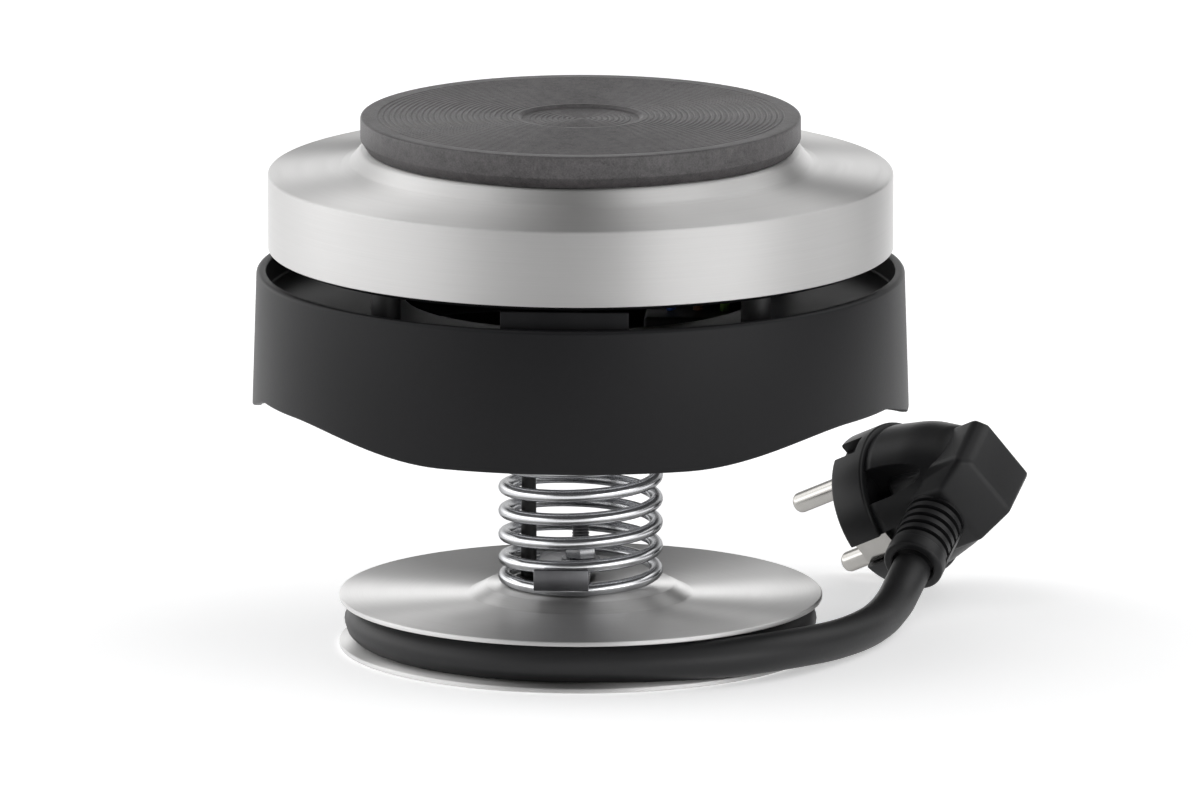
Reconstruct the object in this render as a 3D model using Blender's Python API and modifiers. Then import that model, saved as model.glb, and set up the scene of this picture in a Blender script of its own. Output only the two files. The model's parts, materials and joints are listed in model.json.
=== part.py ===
"""Electric hot plate burner for chafing dishes: a heating head on a spring over a cord spool.

Metres, +Z up, front of the head towards -Y. The origin is the centre of the lower disc's underside.
"""
import math

import bmesh
import bpy
from mathutils import Matrix, Vector

# ---------------------------------------------------------------- driving dimensions
GAP = 0.0003                    # room left between pieces that touch
FINE_ROUND = 56                 # segments of the visible head pieces
ROUND = 44                      # segments of the other large turned pieces
SMALL_ROUND = 16                # segments of the small ones
SCREW_ROUND = 10

# spool base
DISC_RADIUS = 0.055
DISC_THICKNESS = 0.0012
BOSS_MARGIN = 0.00275           # flat of the pressed-up seat outside the coil
BOSS_SLOPE = 0.004
BOSS_HEIGHT = 0.0021
DIMPLE_HEIGHT = 0.0026          # room for the bolt head under the lower disc
CORE_MARGIN = 0.0003            # the core stands this far outside the foot of the raised seat
CORE_WALL = 0.0025
CORE_MOUTH = (-0.0228, 0.006)   # the core is open between these, where the cord's end comes in

# cord and plug
CORD_DIAMETER = 0.009
CORD_INSET = 0.0012             # how far the outermost turn stays inside the discs' edge
LEAD_RADIUS = 0.0018            # the sheathed cores that rise inside the spring
LEAD_ROOM = 0.00215             # between them and the wire
LEAD_HOLE_ROOM = 0.0014
PIN_RADIUS = 0.0024
PIN_LENGTH = 0.019
PIN_SPACING = 0.019
PLUG_RADIUS = 0.0182
PLUG_DISC = 0.009               # thickness of the round face part
PLUG_DEPTH = 0.036
GRIP_SIZE = (0.027, 0.021)
SLEEVE_END = 0.031
SLEEVE_ROOT = 0.0078
SLEEVE_TIP = 0.0064
CORD_EXIT_DEPTH = 0.022
PLUG_FACE = Vector((0.0659, 0.0694, 0.0175))
PLUG_PIN_WAY = Vector((-0.767, 0.488, -0.414))
PLUG_CORD_WAY = Vector((-0.277, -0.837, -0.476))
CORD_LEAVES = (-87.6, -27)      # the outer turn leaves the spool between these angles
CORD_ROUTE = [
    (0.0026, -0.0492, 0.0060), (0.0165, -0.0480, 0.0060), (0.0300, -0.0443, 0.0060),
    (0.0415, -0.0380, 0.0060), (0.0510, -0.0286, 0.0057), (0.0585, -0.0170, 0.0050),
    (0.0643, -0.0040, 0.0046), (0.0680, 0.0085, 0.0047), (0.0706, 0.0196, 0.0060),
    (0.0722, 0.0262, 0.0082), (0.0741, 0.0324, 0.0114)]

# spring
WIRE_RADIUS = 0.0015
SPRING_MEAN_RADIUS = 0.01725
SPRING_CLEAR = 0.002474          # open space between two turns
SPRING_TURNS = 8.4
SPRING_FLAT = 0.4                # share of a turn that lies flat at each end

# clamping of the spring
BOLT_RADIUS = 0.002
CLAMP_ROOM = 0.00035            # between a clamp strip and the lead
CLAMP_BEYOND = 0.00285          # how far a strip reaches past the bolt's axis
CLAMP_THICKNESS = 0.0012
CLAMP_LIP = (0.0014, 0.0023)     # how far its front lip goes below and above the strip
NUT_RADIUS = 0.0038
NUT_HEIGHT = 0.0032
WASHER_THICKNESS = 0.0008
TOP_PLATE_LAP = 0.00025         # how far the top plate reaches past the middle of the wire
TOP_PLATE_THICKNESS = 0.001
ROCK_ROOM = 0.002               # lets the head rock on the spring plate

# plastic skirt
SKIRT_MARGIN = 0.0026           # how far its top stands out past the steel cover
SKIRT_DRAFT = 0.0010
SKIRT_WALL = 0.0022
SKIRT_DROP = 0.0080             # how far the skirt hangs below the bottom cover
SKIRT_HEIGHT = 0.0327
SKIRT_ARCH = 0.0055             # rise of the lower edge between its four low stretches
SIDE_LIP = 0.13                 # share of that rise that is left at the two sides
DECK_HEIGHT = 0.0187            # top of the deck above the bottom cover's underside
DECK_THICKNESS = 0.002
DECK_OPENING = 0.040
BOTTOM_COVER_THICKNESS = 0.001
PILLAR_RADIUS = 0.0032
PILLAR_INSET = 0.0116           # from the outside of the skirt to a pillar's axis

# steel head
POST_RADIUS = 0.0034
POST_INSET = 0.0119             # from the outside of the cover to a post's axis
POST_LENGTH = 0.0093
TAB_INSET = 0.0022
TAB_WIDTH = 0.029
SHIELD_THICKNESS = 0.0008
COVER_RADIUS = 0.071
COVER_BAND = 0.0174             # height of the upright band
COVER_WALL = 0.0008
COVER_LIFT = 0.0011             # how far the shield shows below the band
SEAT_MARGIN = 0.0036            # the raised seat's foot stands this far outside the plate
SEAT_LAP = 0.0055               # and the seat reaches this far in under it
STEP_LIFT = 0.0020
SEAT_LIFT = 0.0052

# hot plate
PLATE_RADIUS = 0.050
PLATE_THICKNESS = 0.0074
PLATE_CHAMFER = 0.0016
RECESS_RADIUS = 0.0142
RECESS_DEPTH = 0.0006
PLATE_SKIRT = 0.0065            # width of the plate's bearing rim
CHANNEL_DEPTH = 0.0038
HEATER_INSET = 0.0105           # from the rim's inside to the middle of the heater tube
HEATER_TUBE = 0.0015
WOOL_INSET = 0.0015
BRIDGE_REACH = 0.0064           # how far the bridge's feet lie outside the seat's foot
BRIDGE_WIDTH = 0.014

# wiring and controls inside the head
THERMOSTAT_X = 0.026
FUSE_X = -0.030
FUSE_RADIUS = 0.002
FUSE_REACH = 0.0065
TERMINAL_SIZE = (0.024, 0.016, 0.011)
TERMINAL_AT = (0.026, 0.014)
EARTH_AT = (0.010, -0.030)
LEAD_WIRE = 0.0011

# ---------------------------------------------------------------- radii worked out from them
OUTER_TURN_RADIUS = DISC_RADIUS - CORD_DIAMETER / 2 - CORD_INSET
SPRING_INSIDE = SPRING_MEAN_RADIUS - WIRE_RADIUS
BOSS_TOP_RADIUS = SPRING_MEAN_RADIUS + WIRE_RADIUS + BOSS_MARGIN
BOSS_FOOT_RADIUS = BOSS_TOP_RADIUS + BOSS_SLOPE
CORE_RADIUS = BOSS_FOOT_RADIUS + CORE_MARGIN
SPRING_RISE = (SPRING_TURNS - 2 * SPRING_FLAT) * (2 * WIRE_RADIUS + SPRING_CLEAR)
SPRING_LENGTH = SPRING_RISE + 2 * WIRE_RADIUS
TOP_PLATE_RADIUS = SPRING_MEAN_RADIUS + TOP_PLATE_LAP
LEAD_OFFSET = LEAD_ROOM + LEAD_RADIUS - SPRING_INSIDE
CLAMP_EDGE = LEAD_OFFSET + LEAD_RADIUS + CLAMP_ROOM
CLAMP_WIDTH = CLAMP_BEYOND - CLAMP_EDGE
CLAMP_OFFSET = (CLAMP_BEYOND + CLAMP_EDGE) / 2
SKIRT_TOP_RADIUS = COVER_RADIUS + SKIRT_MARGIN
SKIRT_BOTTOM_RADIUS = SKIRT_TOP_RADIUS + SKIRT_DRAFT
PILLAR_CIRCLE = SKIRT_TOP_RADIUS - PILLAR_INSET
POST_CIRCLE = COVER_RADIUS - POST_INSET
STEP_RADIUS = PLATE_RADIUS + SEAT_MARGIN
SEAT_OPENING = PLATE_RADIUS - SEAT_LAP
CHANNEL_RADIUS = PLATE_RADIUS - PLATE_SKIRT
HEATER_RADIUS = CHANNEL_RADIUS - HEATER_INSET
WOOL_RADIUS = CHANNEL_RADIUS - WOOL_INSET

# ---------------------------------------------------------------- levels worked out from them
UPPER_DISC_Z = DISC_THICKNESS + CORD_DIAMETER + 2 * GAP
BOSS_TOP_Z = UPPER_DISC_Z + DISC_THICKNESS + BOSS_HEIGHT
SPRING_Z = BOSS_TOP_Z + GAP
SPRING_TOP_Z = SPRING_Z + SPRING_LENGTH
TOP_PLATE_Z = SPRING_TOP_Z + GAP
BOTTOM_COVER_Z = TOP_PLATE_Z + TOP_PLATE_THICKNESS + ROCK_ROOM
SKIRT_Z = BOTTOM_COVER_Z - SKIRT_DROP
DECK_Z = BOTTOM_COVER_Z + DECK_HEIGHT
SHIELD_Z = DECK_Z + POST_LENGTH + 2 * GAP
COVER_Z = SHIELD_Z + COVER_LIFT
COVER_TOP_Z = COVER_Z + COVER_BAND
PLATE_Z = COVER_TOP_Z + SEAT_LIFT + GAP
PLATE_TOP_Z = PLATE_Z + PLATE_THICKNESS
CAP_Z = PLATE_Z - 0.0009
WOOL_Z = CAP_Z - 0.0098
BRIDGE_Z = WOOL_Z - 0.0031
INSIDE_Z = BOTTOM_COVER_Z + BOTTOM_COVER_THICKNESS + GAP


# ---------------------------------------------------------------- scene and helpers
def clear_scene():
    for old in list(bpy.data.objects):
        bpy.data.objects.remove(old)
    for old in list(bpy.data.collections):
        bpy.data.collections.remove(old)


clear_scene()
parts = bpy.data.collections.new("hot_plate_burner")
cutters = bpy.data.collections.new("cutters")
bpy.context.scene.collection.children.link(parts)
bpy.context.scene.collection.children.link(cutters)


def finish(name, colour, roughness, metallic):
    made = bpy.data.materials.new(name)
    made.use_nodes = True
    shader = made.node_tree.nodes["Principled BSDF"]
    shader.inputs["Base Color"].default_value = (*colour, 1)
    shader.inputs["Roughness"].default_value = roughness
    shader.inputs["Metallic"].default_value = metallic
    return made


STEEL = finish("brushed_stainless", (0.62, 0.61, 0.60), 0.32, 1)
ZINC = finish("zinc_plated_steel", (0.70, 0.71, 0.73), 0.22, 1)
IRON = finish("cast_iron", (0.075, 0.070, 0.072), 0.62, 0.3)
BLACK = finish("black_plastic", (0.018, 0.018, 0.020), 0.45, 0)
RUBBER = finish("black_rubber", (0.014, 0.014, 0.015), 0.55, 0)
NICKEL = finish("nickel_plate", (0.72, 0.70, 0.66), 0.25, 1)
SHEET = finish("dark_sheet_steel", (0.10, 0.10, 0.105), 0.5, 0.8)
CERAMIC = finish("ceramic", (0.80, 0.78, 0.73), 0.6, 0)
WOOL = finish("mineral_wool", (0.72, 0.68, 0.58), 0.95, 0)
BROWN = finish("brown_insulation", (0.20, 0.07, 0.03), 0.5, 0)
BLUE = finish("blue_insulation", (0.04, 0.11, 0.38), 0.5, 0)
GREEN = finish("green_insulation", (0.20, 0.42, 0.06), 0.5, 0)


def link(shape, material, home=parts):
    home.objects.link(shape)
    if material:
        shape.data.materials.append(material)
    if home is cutters:
        shape.hide_render = True
        shape.display_type = "WIRE"
    return shape


def smooth(mesh, angle=35):
    mesh.shade_smooth()
    mesh.set_sharp_from_angle(angle=math.radians(angle))


def turned(name, profile, material, segments=ROUND, closed=True, home=parts):
    """A profile of (radius, height) pairs, turned about Z. It runs down the outer side."""
    mesh = bpy.data.meshes.new(name)
    points = [(radius, 0, height) for radius, height in profile]
    edges = [(i, i + 1) for i in range(len(points) - 1)]
    if closed:
        edges.append((len(points) - 1, 0))
    mesh.from_pydata(points, edges, [])
    shape = link(bpy.data.objects.new(name, mesh), material, home)
    screw = shape.modifiers.new("turn", "SCREW")
    screw.steps = screw.render_steps = segments
    screw.use_merge_vertices = True
    screw.merge_threshold = 0.00001
    return shape


def baked(shape):
    """The same object with its curve or modifiers turned into a plain mesh."""
    bpy.context.view_layer.update()
    ready = shape.evaluated_get(bpy.context.evaluated_depsgraph_get())
    mesh = bpy.data.meshes.new_from_object(ready)
    work = bmesh.new()
    work.from_mesh(mesh)
    bmesh.ops.remove_doubles(work, verts=work.verts, dist=0.00001)
    work.to_mesh(mesh)
    work.free()
    name = shape.name
    solid = bpy.data.objects.new(name + "_mesh", mesh)
    solid.matrix_world = shape.matrix_world
    for home in list(shape.users_collection):
        link(solid, None, home)
    bpy.data.objects.remove(shape)
    solid.name = name
    return solid


def tube(name, points, radius, material, cyclic=False, resolution=2):
    """A round wire, lead or cord through the given points."""
    curve = bpy.data.curves.new(name, "CURVE")
    curve.dimensions = "3D"
    curve.bevel_depth = radius
    curve.bevel_resolution = resolution
    curve.use_fill_caps = True
    spline = curve.splines.new("POLY")
    spline.points.add(len(points) - 1)
    for point, place in zip(spline.points, points):
        point.co = (*place, 1)
    spline.use_cyclic_u = cyclic
    return link(bpy.data.objects.new(name, curve), material)


def outline(name, points, thickness, material, place, home=parts):
    """A flat outline, thickened about its own plane and put in place by a matrix."""
    curve = bpy.data.curves.new(name, "CURVE")
    curve.dimensions = "2D"
    curve.fill_mode = "BOTH"
    curve.extrude = thickness / 2
    spline = curve.splines.new("POLY")
    spline.points.add(len(points) - 1)
    for point, (across, along) in zip(spline.points, points):
        point.co = (across, along, 0, 1)
    spline.use_cyclic_u = True
    shape = link(bpy.data.objects.new(name, curve), material, home)
    shape.matrix_world = place
    return shape


def block(name, size, centre, material, bevel=0, home=parts):
    work = bmesh.new()
    bmesh.ops.create_cube(work, size=1)
    bmesh.ops.scale(work, vec=size, verts=work.verts)
    mesh = bpy.data.meshes.new(name)
    work.to_mesh(mesh)
    work.free()
    shape = link(bpy.data.objects.new(name, mesh), material, home)
    shape.location = centre
    if bevel:
        edge = shape.modifiers.new("edges", "BEVEL")
        edge.width = bevel
        edge.segments = 2
    return shape


def rod(name, radius, low, high, material, at=(0, 0), sides=SMALL_ROUND, home=parts):
    """An upright cylinder between two levels."""
    work = bmesh.new()
    bmesh.ops.create_cone(work, cap_ends=True, segments=sides, radius1=radius, radius2=radius,
                          depth=high - low)
    mesh = bpy.data.meshes.new(name)
    work.to_mesh(mesh)
    work.free()
    smooth(mesh)
    shape = link(bpy.data.objects.new(name, mesh), material, home)
    shape.location = (*at, (low + high) / 2)
    return shape


def combine(target, tool, operation):
    step = target.modifiers.new(operation.lower(), "BOOLEAN")
    step.operation = operation
    step.object = tool
    step.solver = "EXACT"


def drill(target, radius, low, high, at=(0, 0), sides=SMALL_ROUND):
    tool = rod(f"{target.name}_hole_{len(target.modifiers)}", radius, low, high, None, at, sides, cutters)
    combine(target, tool, "DIFFERENCE")


def polar(radius, degrees):
    angle = math.radians(degrees)
    return radius * math.cos(angle), radius * math.sin(angle)


def screw(name, at, seat, head_radius, head_height, shank_radius, length, upward=True):
    """A cap screw whose head bears on the level of its seat, with its shank going up or down."""
    way = 1 if upward else -1
    profile = [(0, -head_height), (head_radius * 0.8, -head_height), (head_radius, -head_height * 0.6),
               (head_radius, 0), (shank_radius, 0), (shank_radius, length - shank_radius * 0.4),
               (shank_radius * 0.6, length), (0, length)]
    profile = [(radius, height * way) for radius, height in profile]
    if upward:
        profile.reverse()
    made = turned(name, profile, ZINC, SCREW_ROUND, closed=False)
    made.location = (*at, seat)
    return made


# ---------------------------------------------------------------- spool base
def make_discs():
    lower_foot = 0.0125
    lower_top = 0.0095
    under = DIMPLE_HEIGHT
    edge = DISC_THICKNESS * 0.3
    lower = turned("lower_disc", [
        (DISC_RADIUS, DISC_THICKNESS - edge), (DISC_RADIUS, edge), (DISC_RADIUS - edge, 0),
        (lower_foot, 0), (lower_top, under), (BOLT_RADIUS + GAP, under),
        (BOLT_RADIUS + GAP, under + DISC_THICKNESS), (lower_top, under + DISC_THICKNESS),
        (lower_foot, DISC_THICKNESS), (DISC_RADIUS - edge, DISC_THICKNESS)], STEEL)
    low = UPPER_DISC_Z
    top = low + DISC_THICKNESS
    upper = turned("upper_disc", [
        (DISC_RADIUS - edge, top), (DISC_RADIUS, top - edge), (DISC_RADIUS, low + edge),
        (DISC_RADIUS - edge, low), (BOSS_FOOT_RADIUS, low), (BOSS_TOP_RADIUS, low + BOSS_HEIGHT),
        (BOLT_RADIUS + GAP, low + BOSS_HEIGHT), (BOLT_RADIUS + GAP, BOSS_TOP_Z),
        (BOSS_TOP_RADIUS, BOSS_TOP_Z), (BOSS_FOOT_RADIUS, top)], STEEL)
    drill(upper, LEAD_RADIUS + LEAD_HOLE_ROOM, low, BOSS_TOP_Z + 0.002, (LEAD_OFFSET, 0))
    return lower, upper


def make_spool_core():
    low = DISC_THICKNESS + GAP
    high = UPPER_DISC_Z - GAP
    core = turned("spool_core", [(CORE_RADIUS, high), (CORE_RADIUS, low),
                                 (CORE_RADIUS - CORE_WALL, low), (CORE_RADIUS - CORE_WALL, high)], BLACK, 32)
    first, last = CORE_MOUTH
    mouth = block("spool_core_mouth", (CORE_RADIUS, last - first, high - low + 0.002),
                  (-CORE_RADIUS, (first + last) / 2, (low + high) / 2), None, home=cutters)
    combine(core, mouth, "DIFFERENCE")
    sleeve_low = DIMPLE_HEIGHT + DISC_THICKNESS + GAP
    sleeve_high = UPPER_DISC_Z + BOSS_HEIGHT - GAP
    turned("bolt_spacer", [(0.005, sleeve_high), (0.005, sleeve_low), (BOLT_RADIUS + GAP, sleeve_low),
                           (BOLT_RADIUS + GAP, sleeve_high)], ZINC, SMALL_ROUND)


def clamp_reach():
    """How far back a clamp strip can run inside the coil before its corner meets the wire."""
    return math.sqrt((SPRING_INSIDE - 3 * GAP) ** 2 - CLAMP_EDGE ** 2)


def make_lower_clamp():
    """A steel strip over the bottom coil, pulled down by the bolt through the middle of the spool."""
    low = SPRING_Z + 2 * WIRE_RADIUS + GAP
    high = low + CLAMP_THICKNESS
    front = -(SPRING_MEAN_RADIUS + WIRE_RADIUS + GAP)
    back = clamp_reach()
    foot = BOSS_TOP_Z + GAP
    face = front - CLAMP_THICKNESS
    down, up = CLAMP_LIP
    side = [(face, high + up), (front, high + up), (front, high), (back, high), (back, foot),
            (back - CLAMP_THICKNESS, foot), (back - CLAMP_THICKNESS, low), (front, low), (front, low - down),
            (face, low - down)]
    place = Matrix.Translation((CLAMP_OFFSET, 0, 0)) @ Matrix(((0, 0, 1, 0), (1, 0, 0, 0), (0, 1, 0, 0),
                                                               (0, 0, 0, 1)))
    strip = baked(outline("lower_spring_clamp", side, CLAMP_WIDTH, ZINC, place))
    drill(strip, BOLT_RADIUS + GAP, low - 0.001, high + 0.001)
    washer_top = high + GAP + WASHER_THICKNESS
    washer = turned("base_bolt_washer", [(0.0044, washer_top), (0.0044, high + GAP),
                                         (BOLT_RADIUS + GAP, high + GAP), (BOLT_RADIUS + GAP, washer_top)],
                    ZINC, SMALL_ROUND)
    nut_low = washer_top + GAP
    nut = rod("base_bolt_nut", NUT_RADIUS, nut_low, nut_low + NUT_HEIGHT, ZINC, sides=6)
    drill(nut, BOLT_RADIUS + GAP, washer_top, washer_top + 0.005)
    screw("base_bolt", (0, 0), DIMPLE_HEIGHT - GAP, 0.0048, 0.002, BOLT_RADIUS,
          washer_top + 0.0083 - DIMPLE_HEIGHT)
    return washer


def make_grommet():
    hole = LEAD_RADIUS + LEAD_HOLE_ROOM - GAP
    bore = LEAD_RADIUS + GAP
    low = UPPER_DISC_Z + BOSS_HEIGHT - 0.0015
    grommet = turned("lead_grommet", [
        (hole, BOSS_TOP_Z - GAP), (hole, low), (bore, low), (bore, BOSS_TOP_Z + 0.0016),
        (hole, BOSS_TOP_Z + 0.0016)], RUBBER, SMALL_ROUND)
    grommet.location = (LEAD_OFFSET, 0, 0)


# ---------------------------------------------------------------- spring and riser
def make_spring():
    """A right-hand coil. Its end turns lie flat for a little under half a turn."""
    steps = 14
    centre_low = SPRING_Z + WIRE_RADIUS
    points = []
    count = round(SPRING_TURNS * steps)
    for i in range(count + 1):
        turn = SPRING_TURNS * i / count
        share = min(max((turn - SPRING_FLAT) / (SPRING_TURNS - 2 * SPRING_FLAT), 0), 1)
        x, y = polar(SPRING_MEAN_RADIUS, 126 + 360 * turn)
        points.append((x, y, centre_low + SPRING_RISE * share))
    tube("spring", points, WIRE_RADIUS, ZINC)


def make_riser():
    """The sheathed cores rise from the spool to the head, with room to fold as the spring shortens."""
    low = UPPER_DISC_Z + BOSS_HEIGHT - 0.0015
    points = [(LEAD_OFFSET, 0, low + (INSIDE_Z + 0.002 - low) * i / 8) for i in range(9)]
    tube("riser_lead", points, LEAD_RADIUS, RUBBER)


def make_spring_top():
    """The plate on the top coil, and the clamp strip under that coil that holds it to the head."""
    top = TOP_PLATE_Z + TOP_PLATE_THICKNESS
    collar = SPRING_INSIDE - 3 * GAP
    plate = turned("spring_top_plate", [
        (TOP_PLATE_RADIUS, top), (TOP_PLATE_RADIUS, TOP_PLATE_Z), (collar, TOP_PLATE_Z),
        (collar, TOP_PLATE_Z - 0.002), (collar - 0.001, TOP_PLATE_Z - 0.002),
        (collar - 0.001, TOP_PLATE_Z), (BOLT_RADIUS + 0.0008, TOP_PLATE_Z), (BOLT_RADIUS + 0.0008, top)],
        ZINC, 32)
    drill(plate, LEAD_RADIUS + 0.0007, TOP_PLATE_Z - 0.001, top + 0.001, (LEAD_OFFSET, 0))
    high = TOP_PLATE_Z - 0.0028
    low = high - CLAMP_THICKNESS
    reach = clamp_reach()
    strip = block("upper_spring_clamp", (CLAMP_WIDTH, 2 * reach, CLAMP_THICKNESS),
                  (-CLAMP_OFFSET, 0, (low + high) / 2), ZINC, 0.0004)
    drill(strip, BOLT_RADIUS + 0.0008, low - 0.001, high + 0.001)
    cover_top = BOTTOM_COVER_Z + BOTTOM_COVER_THICKNESS
    screw("head_bolt", (0, 0), low - 0.0009, 0.0042, 0.0022, BOLT_RADIUS, cover_top + 0.006 - low)
    nut = rod("head_bolt_nut", NUT_RADIUS, cover_top + GAP, cover_top + GAP + NUT_HEIGHT, ZINC, sides=6)
    drill(nut, BOLT_RADIUS + GAP, cover_top, cover_top + 0.005)


# ---------------------------------------------------------------- plastic housing
def arch(angle):
    """Rise of the skirt's lower edge: none at the front and back, little at the sides."""
    off = math.degrees(angle) % 180
    off = min(off, 180 - off)
    side = 90 - off
    climb = min(max((side - 22) / 36, 0), 1)
    fall = min(max((88 - side) / 16, 0), 1)
    return SKIRT_ARCH * climb * climb * (3 - 2 * climb) * (SIDE_LIP + (1 - SIDE_LIP) * fall)


def make_skirt():
    top = SKIRT_Z + SKIRT_HEIGHT
    deck_low = DECK_Z - DECK_THICKNESS

    def outer(height):
        share = (height - SKIRT_Z) / SKIRT_HEIGHT
        return SKIRT_BOTTOM_RADIUS + (SKIRT_TOP_RADIUS - SKIRT_BOTTOM_RADIUS) * share

    edge = 0.0007
    skirt = baked(turned("skirt", [
        (outer(top) - edge, top), (outer(top), top - edge), (outer(SKIRT_Z), SKIRT_Z),
        (outer(SKIRT_Z) - SKIRT_WALL, SKIRT_Z), (outer(deck_low) - SKIRT_WALL, deck_low),
        (DECK_OPENING, deck_low), (DECK_OPENING, DECK_Z), (outer(DECK_Z) - SKIRT_WALL, DECK_Z),
        (outer(top) - SKIRT_WALL, top - edge), (outer(top) - SKIRT_WALL + edge, top)], BLACK, FINE_ROUND))
    for vertex in skirt.data.vertices:
        if vertex.co.z < SKIRT_Z + GAP:
            vertex.co.z += arch(math.atan2(vertex.co.y, vertex.co.x))
    smooth(skirt.data)
    for i in range(3):
        at = polar(PILLAR_CIRCLE, 90 + 120 * i)
        pillar = rod(f"skirt_pillar_{i}", PILLAR_RADIUS, INSIDE_Z, DECK_Z - DECK_THICKNESS / 2, None, at,
                     16, cutters)
        combine(skirt, pillar, "UNION")
        drill(skirt, 0.0016, INSIDE_Z - 0.001, INSIDE_Z + 0.010, at, 12)
    for i in range(4):
        drill(skirt, 0.0018, deck_low - 0.001, DECK_Z + 0.001, polar(POST_CIRCLE, 45 + 90 * i), 12)
    return outer(BOTTOM_COVER_Z) - SKIRT_WALL


def make_bottom_cover(room):
    high = BOTTOM_COVER_Z + BOTTOM_COVER_THICKNESS
    cover = turned("bottom_cover", [(room - GAP, high), (room - GAP, BOTTOM_COVER_Z),
                                    (BOLT_RADIUS + GAP, BOTTOM_COVER_Z), (BOLT_RADIUS + GAP, high)], SHEET)
    drill(cover, LEAD_RADIUS + 0.0009, BOTTOM_COVER_Z - 0.001, high + 0.001, (LEAD_OFFSET, 0))
    for i in range(3):
        at = polar(PILLAR_CIRCLE, 90 + 120 * i)
        drill(cover, 0.0017, BOTTOM_COVER_Z - 0.001, high + 0.001, at, 12)
        screw(f"bottom_screw_{i + 1}", at, BOTTOM_COVER_Z - GAP, 0.0028, 0.0016, 0.0013, 0.0085)


def make_posts():
    for i in range(4):
        at = polar(POST_CIRCLE, 45 + 90 * i)
        low = DECK_Z + GAP
        post = rod(f"spacer_post_{i + 1}", POST_RADIUS, low, low + POST_LENGTH, BLACK, at)
        drill(post, 0.0018, low - 0.001, low + POST_LENGTH - 0.002, at, 12)
        screw(f"post_screw_{i + 1}", at, DECK_Z - DECK_THICKNESS - GAP, 0.003, 0.0016, 0.0014, 0.0085)


def make_front_tab():
    """A bent steel tab that fills the gap at the front, between the deck and the heat shield."""
    low = DECK_Z + GAP
    high = SHIELD_Z - GAP
    front = TAB_INSET - COVER_RADIUS
    thick = 0.001
    side = [(front, high), (front, low), (front + 0.008, low), (front + 0.008, low + thick),
            (front + thick, low + thick), (front + thick, high)]
    place = Matrix(((0, 0, 1, 0), (1, 0, 0, 0), (0, 1, 0, 0), (0, 0, 0, 1)))
    outline("front_tab", side, TAB_WIDTH, SHEET, place)


# ---------------------------------------------------------------- steel head
def make_shield():
    rim = COVER_RADIUS - COVER_WALL - 0.0006
    low = SHIELD_Z
    high = low + 0.006
    shield = turned("heat_shield", [
        (rim, high), (rim, low + 0.001), (rim - 0.001, low), (0.012, low), (0.012, low + SHIELD_THICKNESS),
        (rim - 0.0014, low + SHIELD_THICKNESS), (rim - SHIELD_THICKNESS, low + 0.0014),
        (rim - SHIELD_THICKNESS, high)], SHEET)
    return shield


def make_steel_cover():
    r = COVER_RADIUS
    z = COVER_TOP_Z
    w = COVER_WALL
    step = z + STEP_LIFT
    seat = z + SEAT_LIFT
    turned("steel_cover", [
        (SEAT_OPENING, seat), (STEP_RADIUS - 0.0042, seat), (STEP_RADIUS - 0.0024, seat - 0.0007),
        (STEP_RADIUS - 0.0011, step + 0.0006), (STEP_RADIUS, step), (r - 0.0008, z),
        (r - 0.0002, z - 0.0003), (r, z - 0.0009), (r, COVER_Z), (r - w, COVER_Z), (r - w, z - 0.0012),
        (r - 0.0012, z - w), (STEP_RADIUS - 0.0004, step - w), (STEP_RADIUS - 0.0017, step - 0.0001),
        (STEP_RADIUS - 0.003, seat - 0.0013), (STEP_RADIUS - 0.0046, seat - w), (SEAT_OPENING, seat - w)],
        STEEL, FINE_ROUND)


def make_hot_plate():
    low = PLATE_Z
    top = PLATE_TOP_Z
    plate = turned("hot_plate", [
        (0, top - RECESS_DEPTH), (RECESS_RADIUS - 0.0012, top - RECESS_DEPTH), (RECESS_RADIUS, top),
        (PLATE_RADIUS - 0.0006, top), (PLATE_RADIUS, top - 0.0006),
        (PLATE_RADIUS, low + PLATE_CHAMFER * 1.5), (PLATE_RADIUS - PLATE_CHAMFER, low),
        (CHANNEL_RADIUS, low), (CHANNEL_RADIUS, low + CHANNEL_DEPTH), (0, low + CHANNEL_DEPTH)],
        IRON, FINE_ROUND, closed=False)
    heater_z = low + CHANNEL_DEPTH - GAP - HEATER_TUBE
    ends = (102, 438)
    steps = 28
    ring = [(*polar(HEATER_RADIUS, ends[0] + (ends[1] - ends[0]) * i / steps), heater_z)
            for i in range(steps + 1)]
    foot = WOOL_Z - 0.002
    legs = [polar(HEATER_RADIUS, ends[0] - 4), polar(HEATER_RADIUS, ends[1] + 4)]
    path = [(*legs[0], foot), (*legs[0], heater_z - 0.0030), (*legs[0], heater_z - 0.0014)]
    path += ring
    path += [(*legs[1], heater_z - 0.0014), (*legs[1], heater_z - 0.0030), (*legs[1], foot)]
    tube("heater_element", path, HEATER_TUBE, SHEET)
    cap_top = CAP_Z + 0.0006
    cap = turned("plate_cap", [(CHANNEL_RADIUS - GAP, cap_top), (CHANNEL_RADIUS - GAP, CAP_Z),
                               (BOLT_RADIUS + GAP, CAP_Z), (BOLT_RADIUS + GAP, cap_top)], SHEET)
    wool = turned("insulation_disc", [(WOOL_RADIUS, CAP_Z - GAP), (WOOL_RADIUS, WOOL_Z), (0.006, WOOL_Z),
                                      (0.006, CAP_Z - GAP)], WOOL)
    for leg in legs:
        drill(cap, HEATER_TUBE + 0.0008, CAP_Z - 0.001, cap_top + 0.001, leg, 16)
        drill(wool, HEATER_TUBE + 0.0008, WOOL_Z - 0.001, CAP_Z, leg, 16)
    return plate


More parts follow.
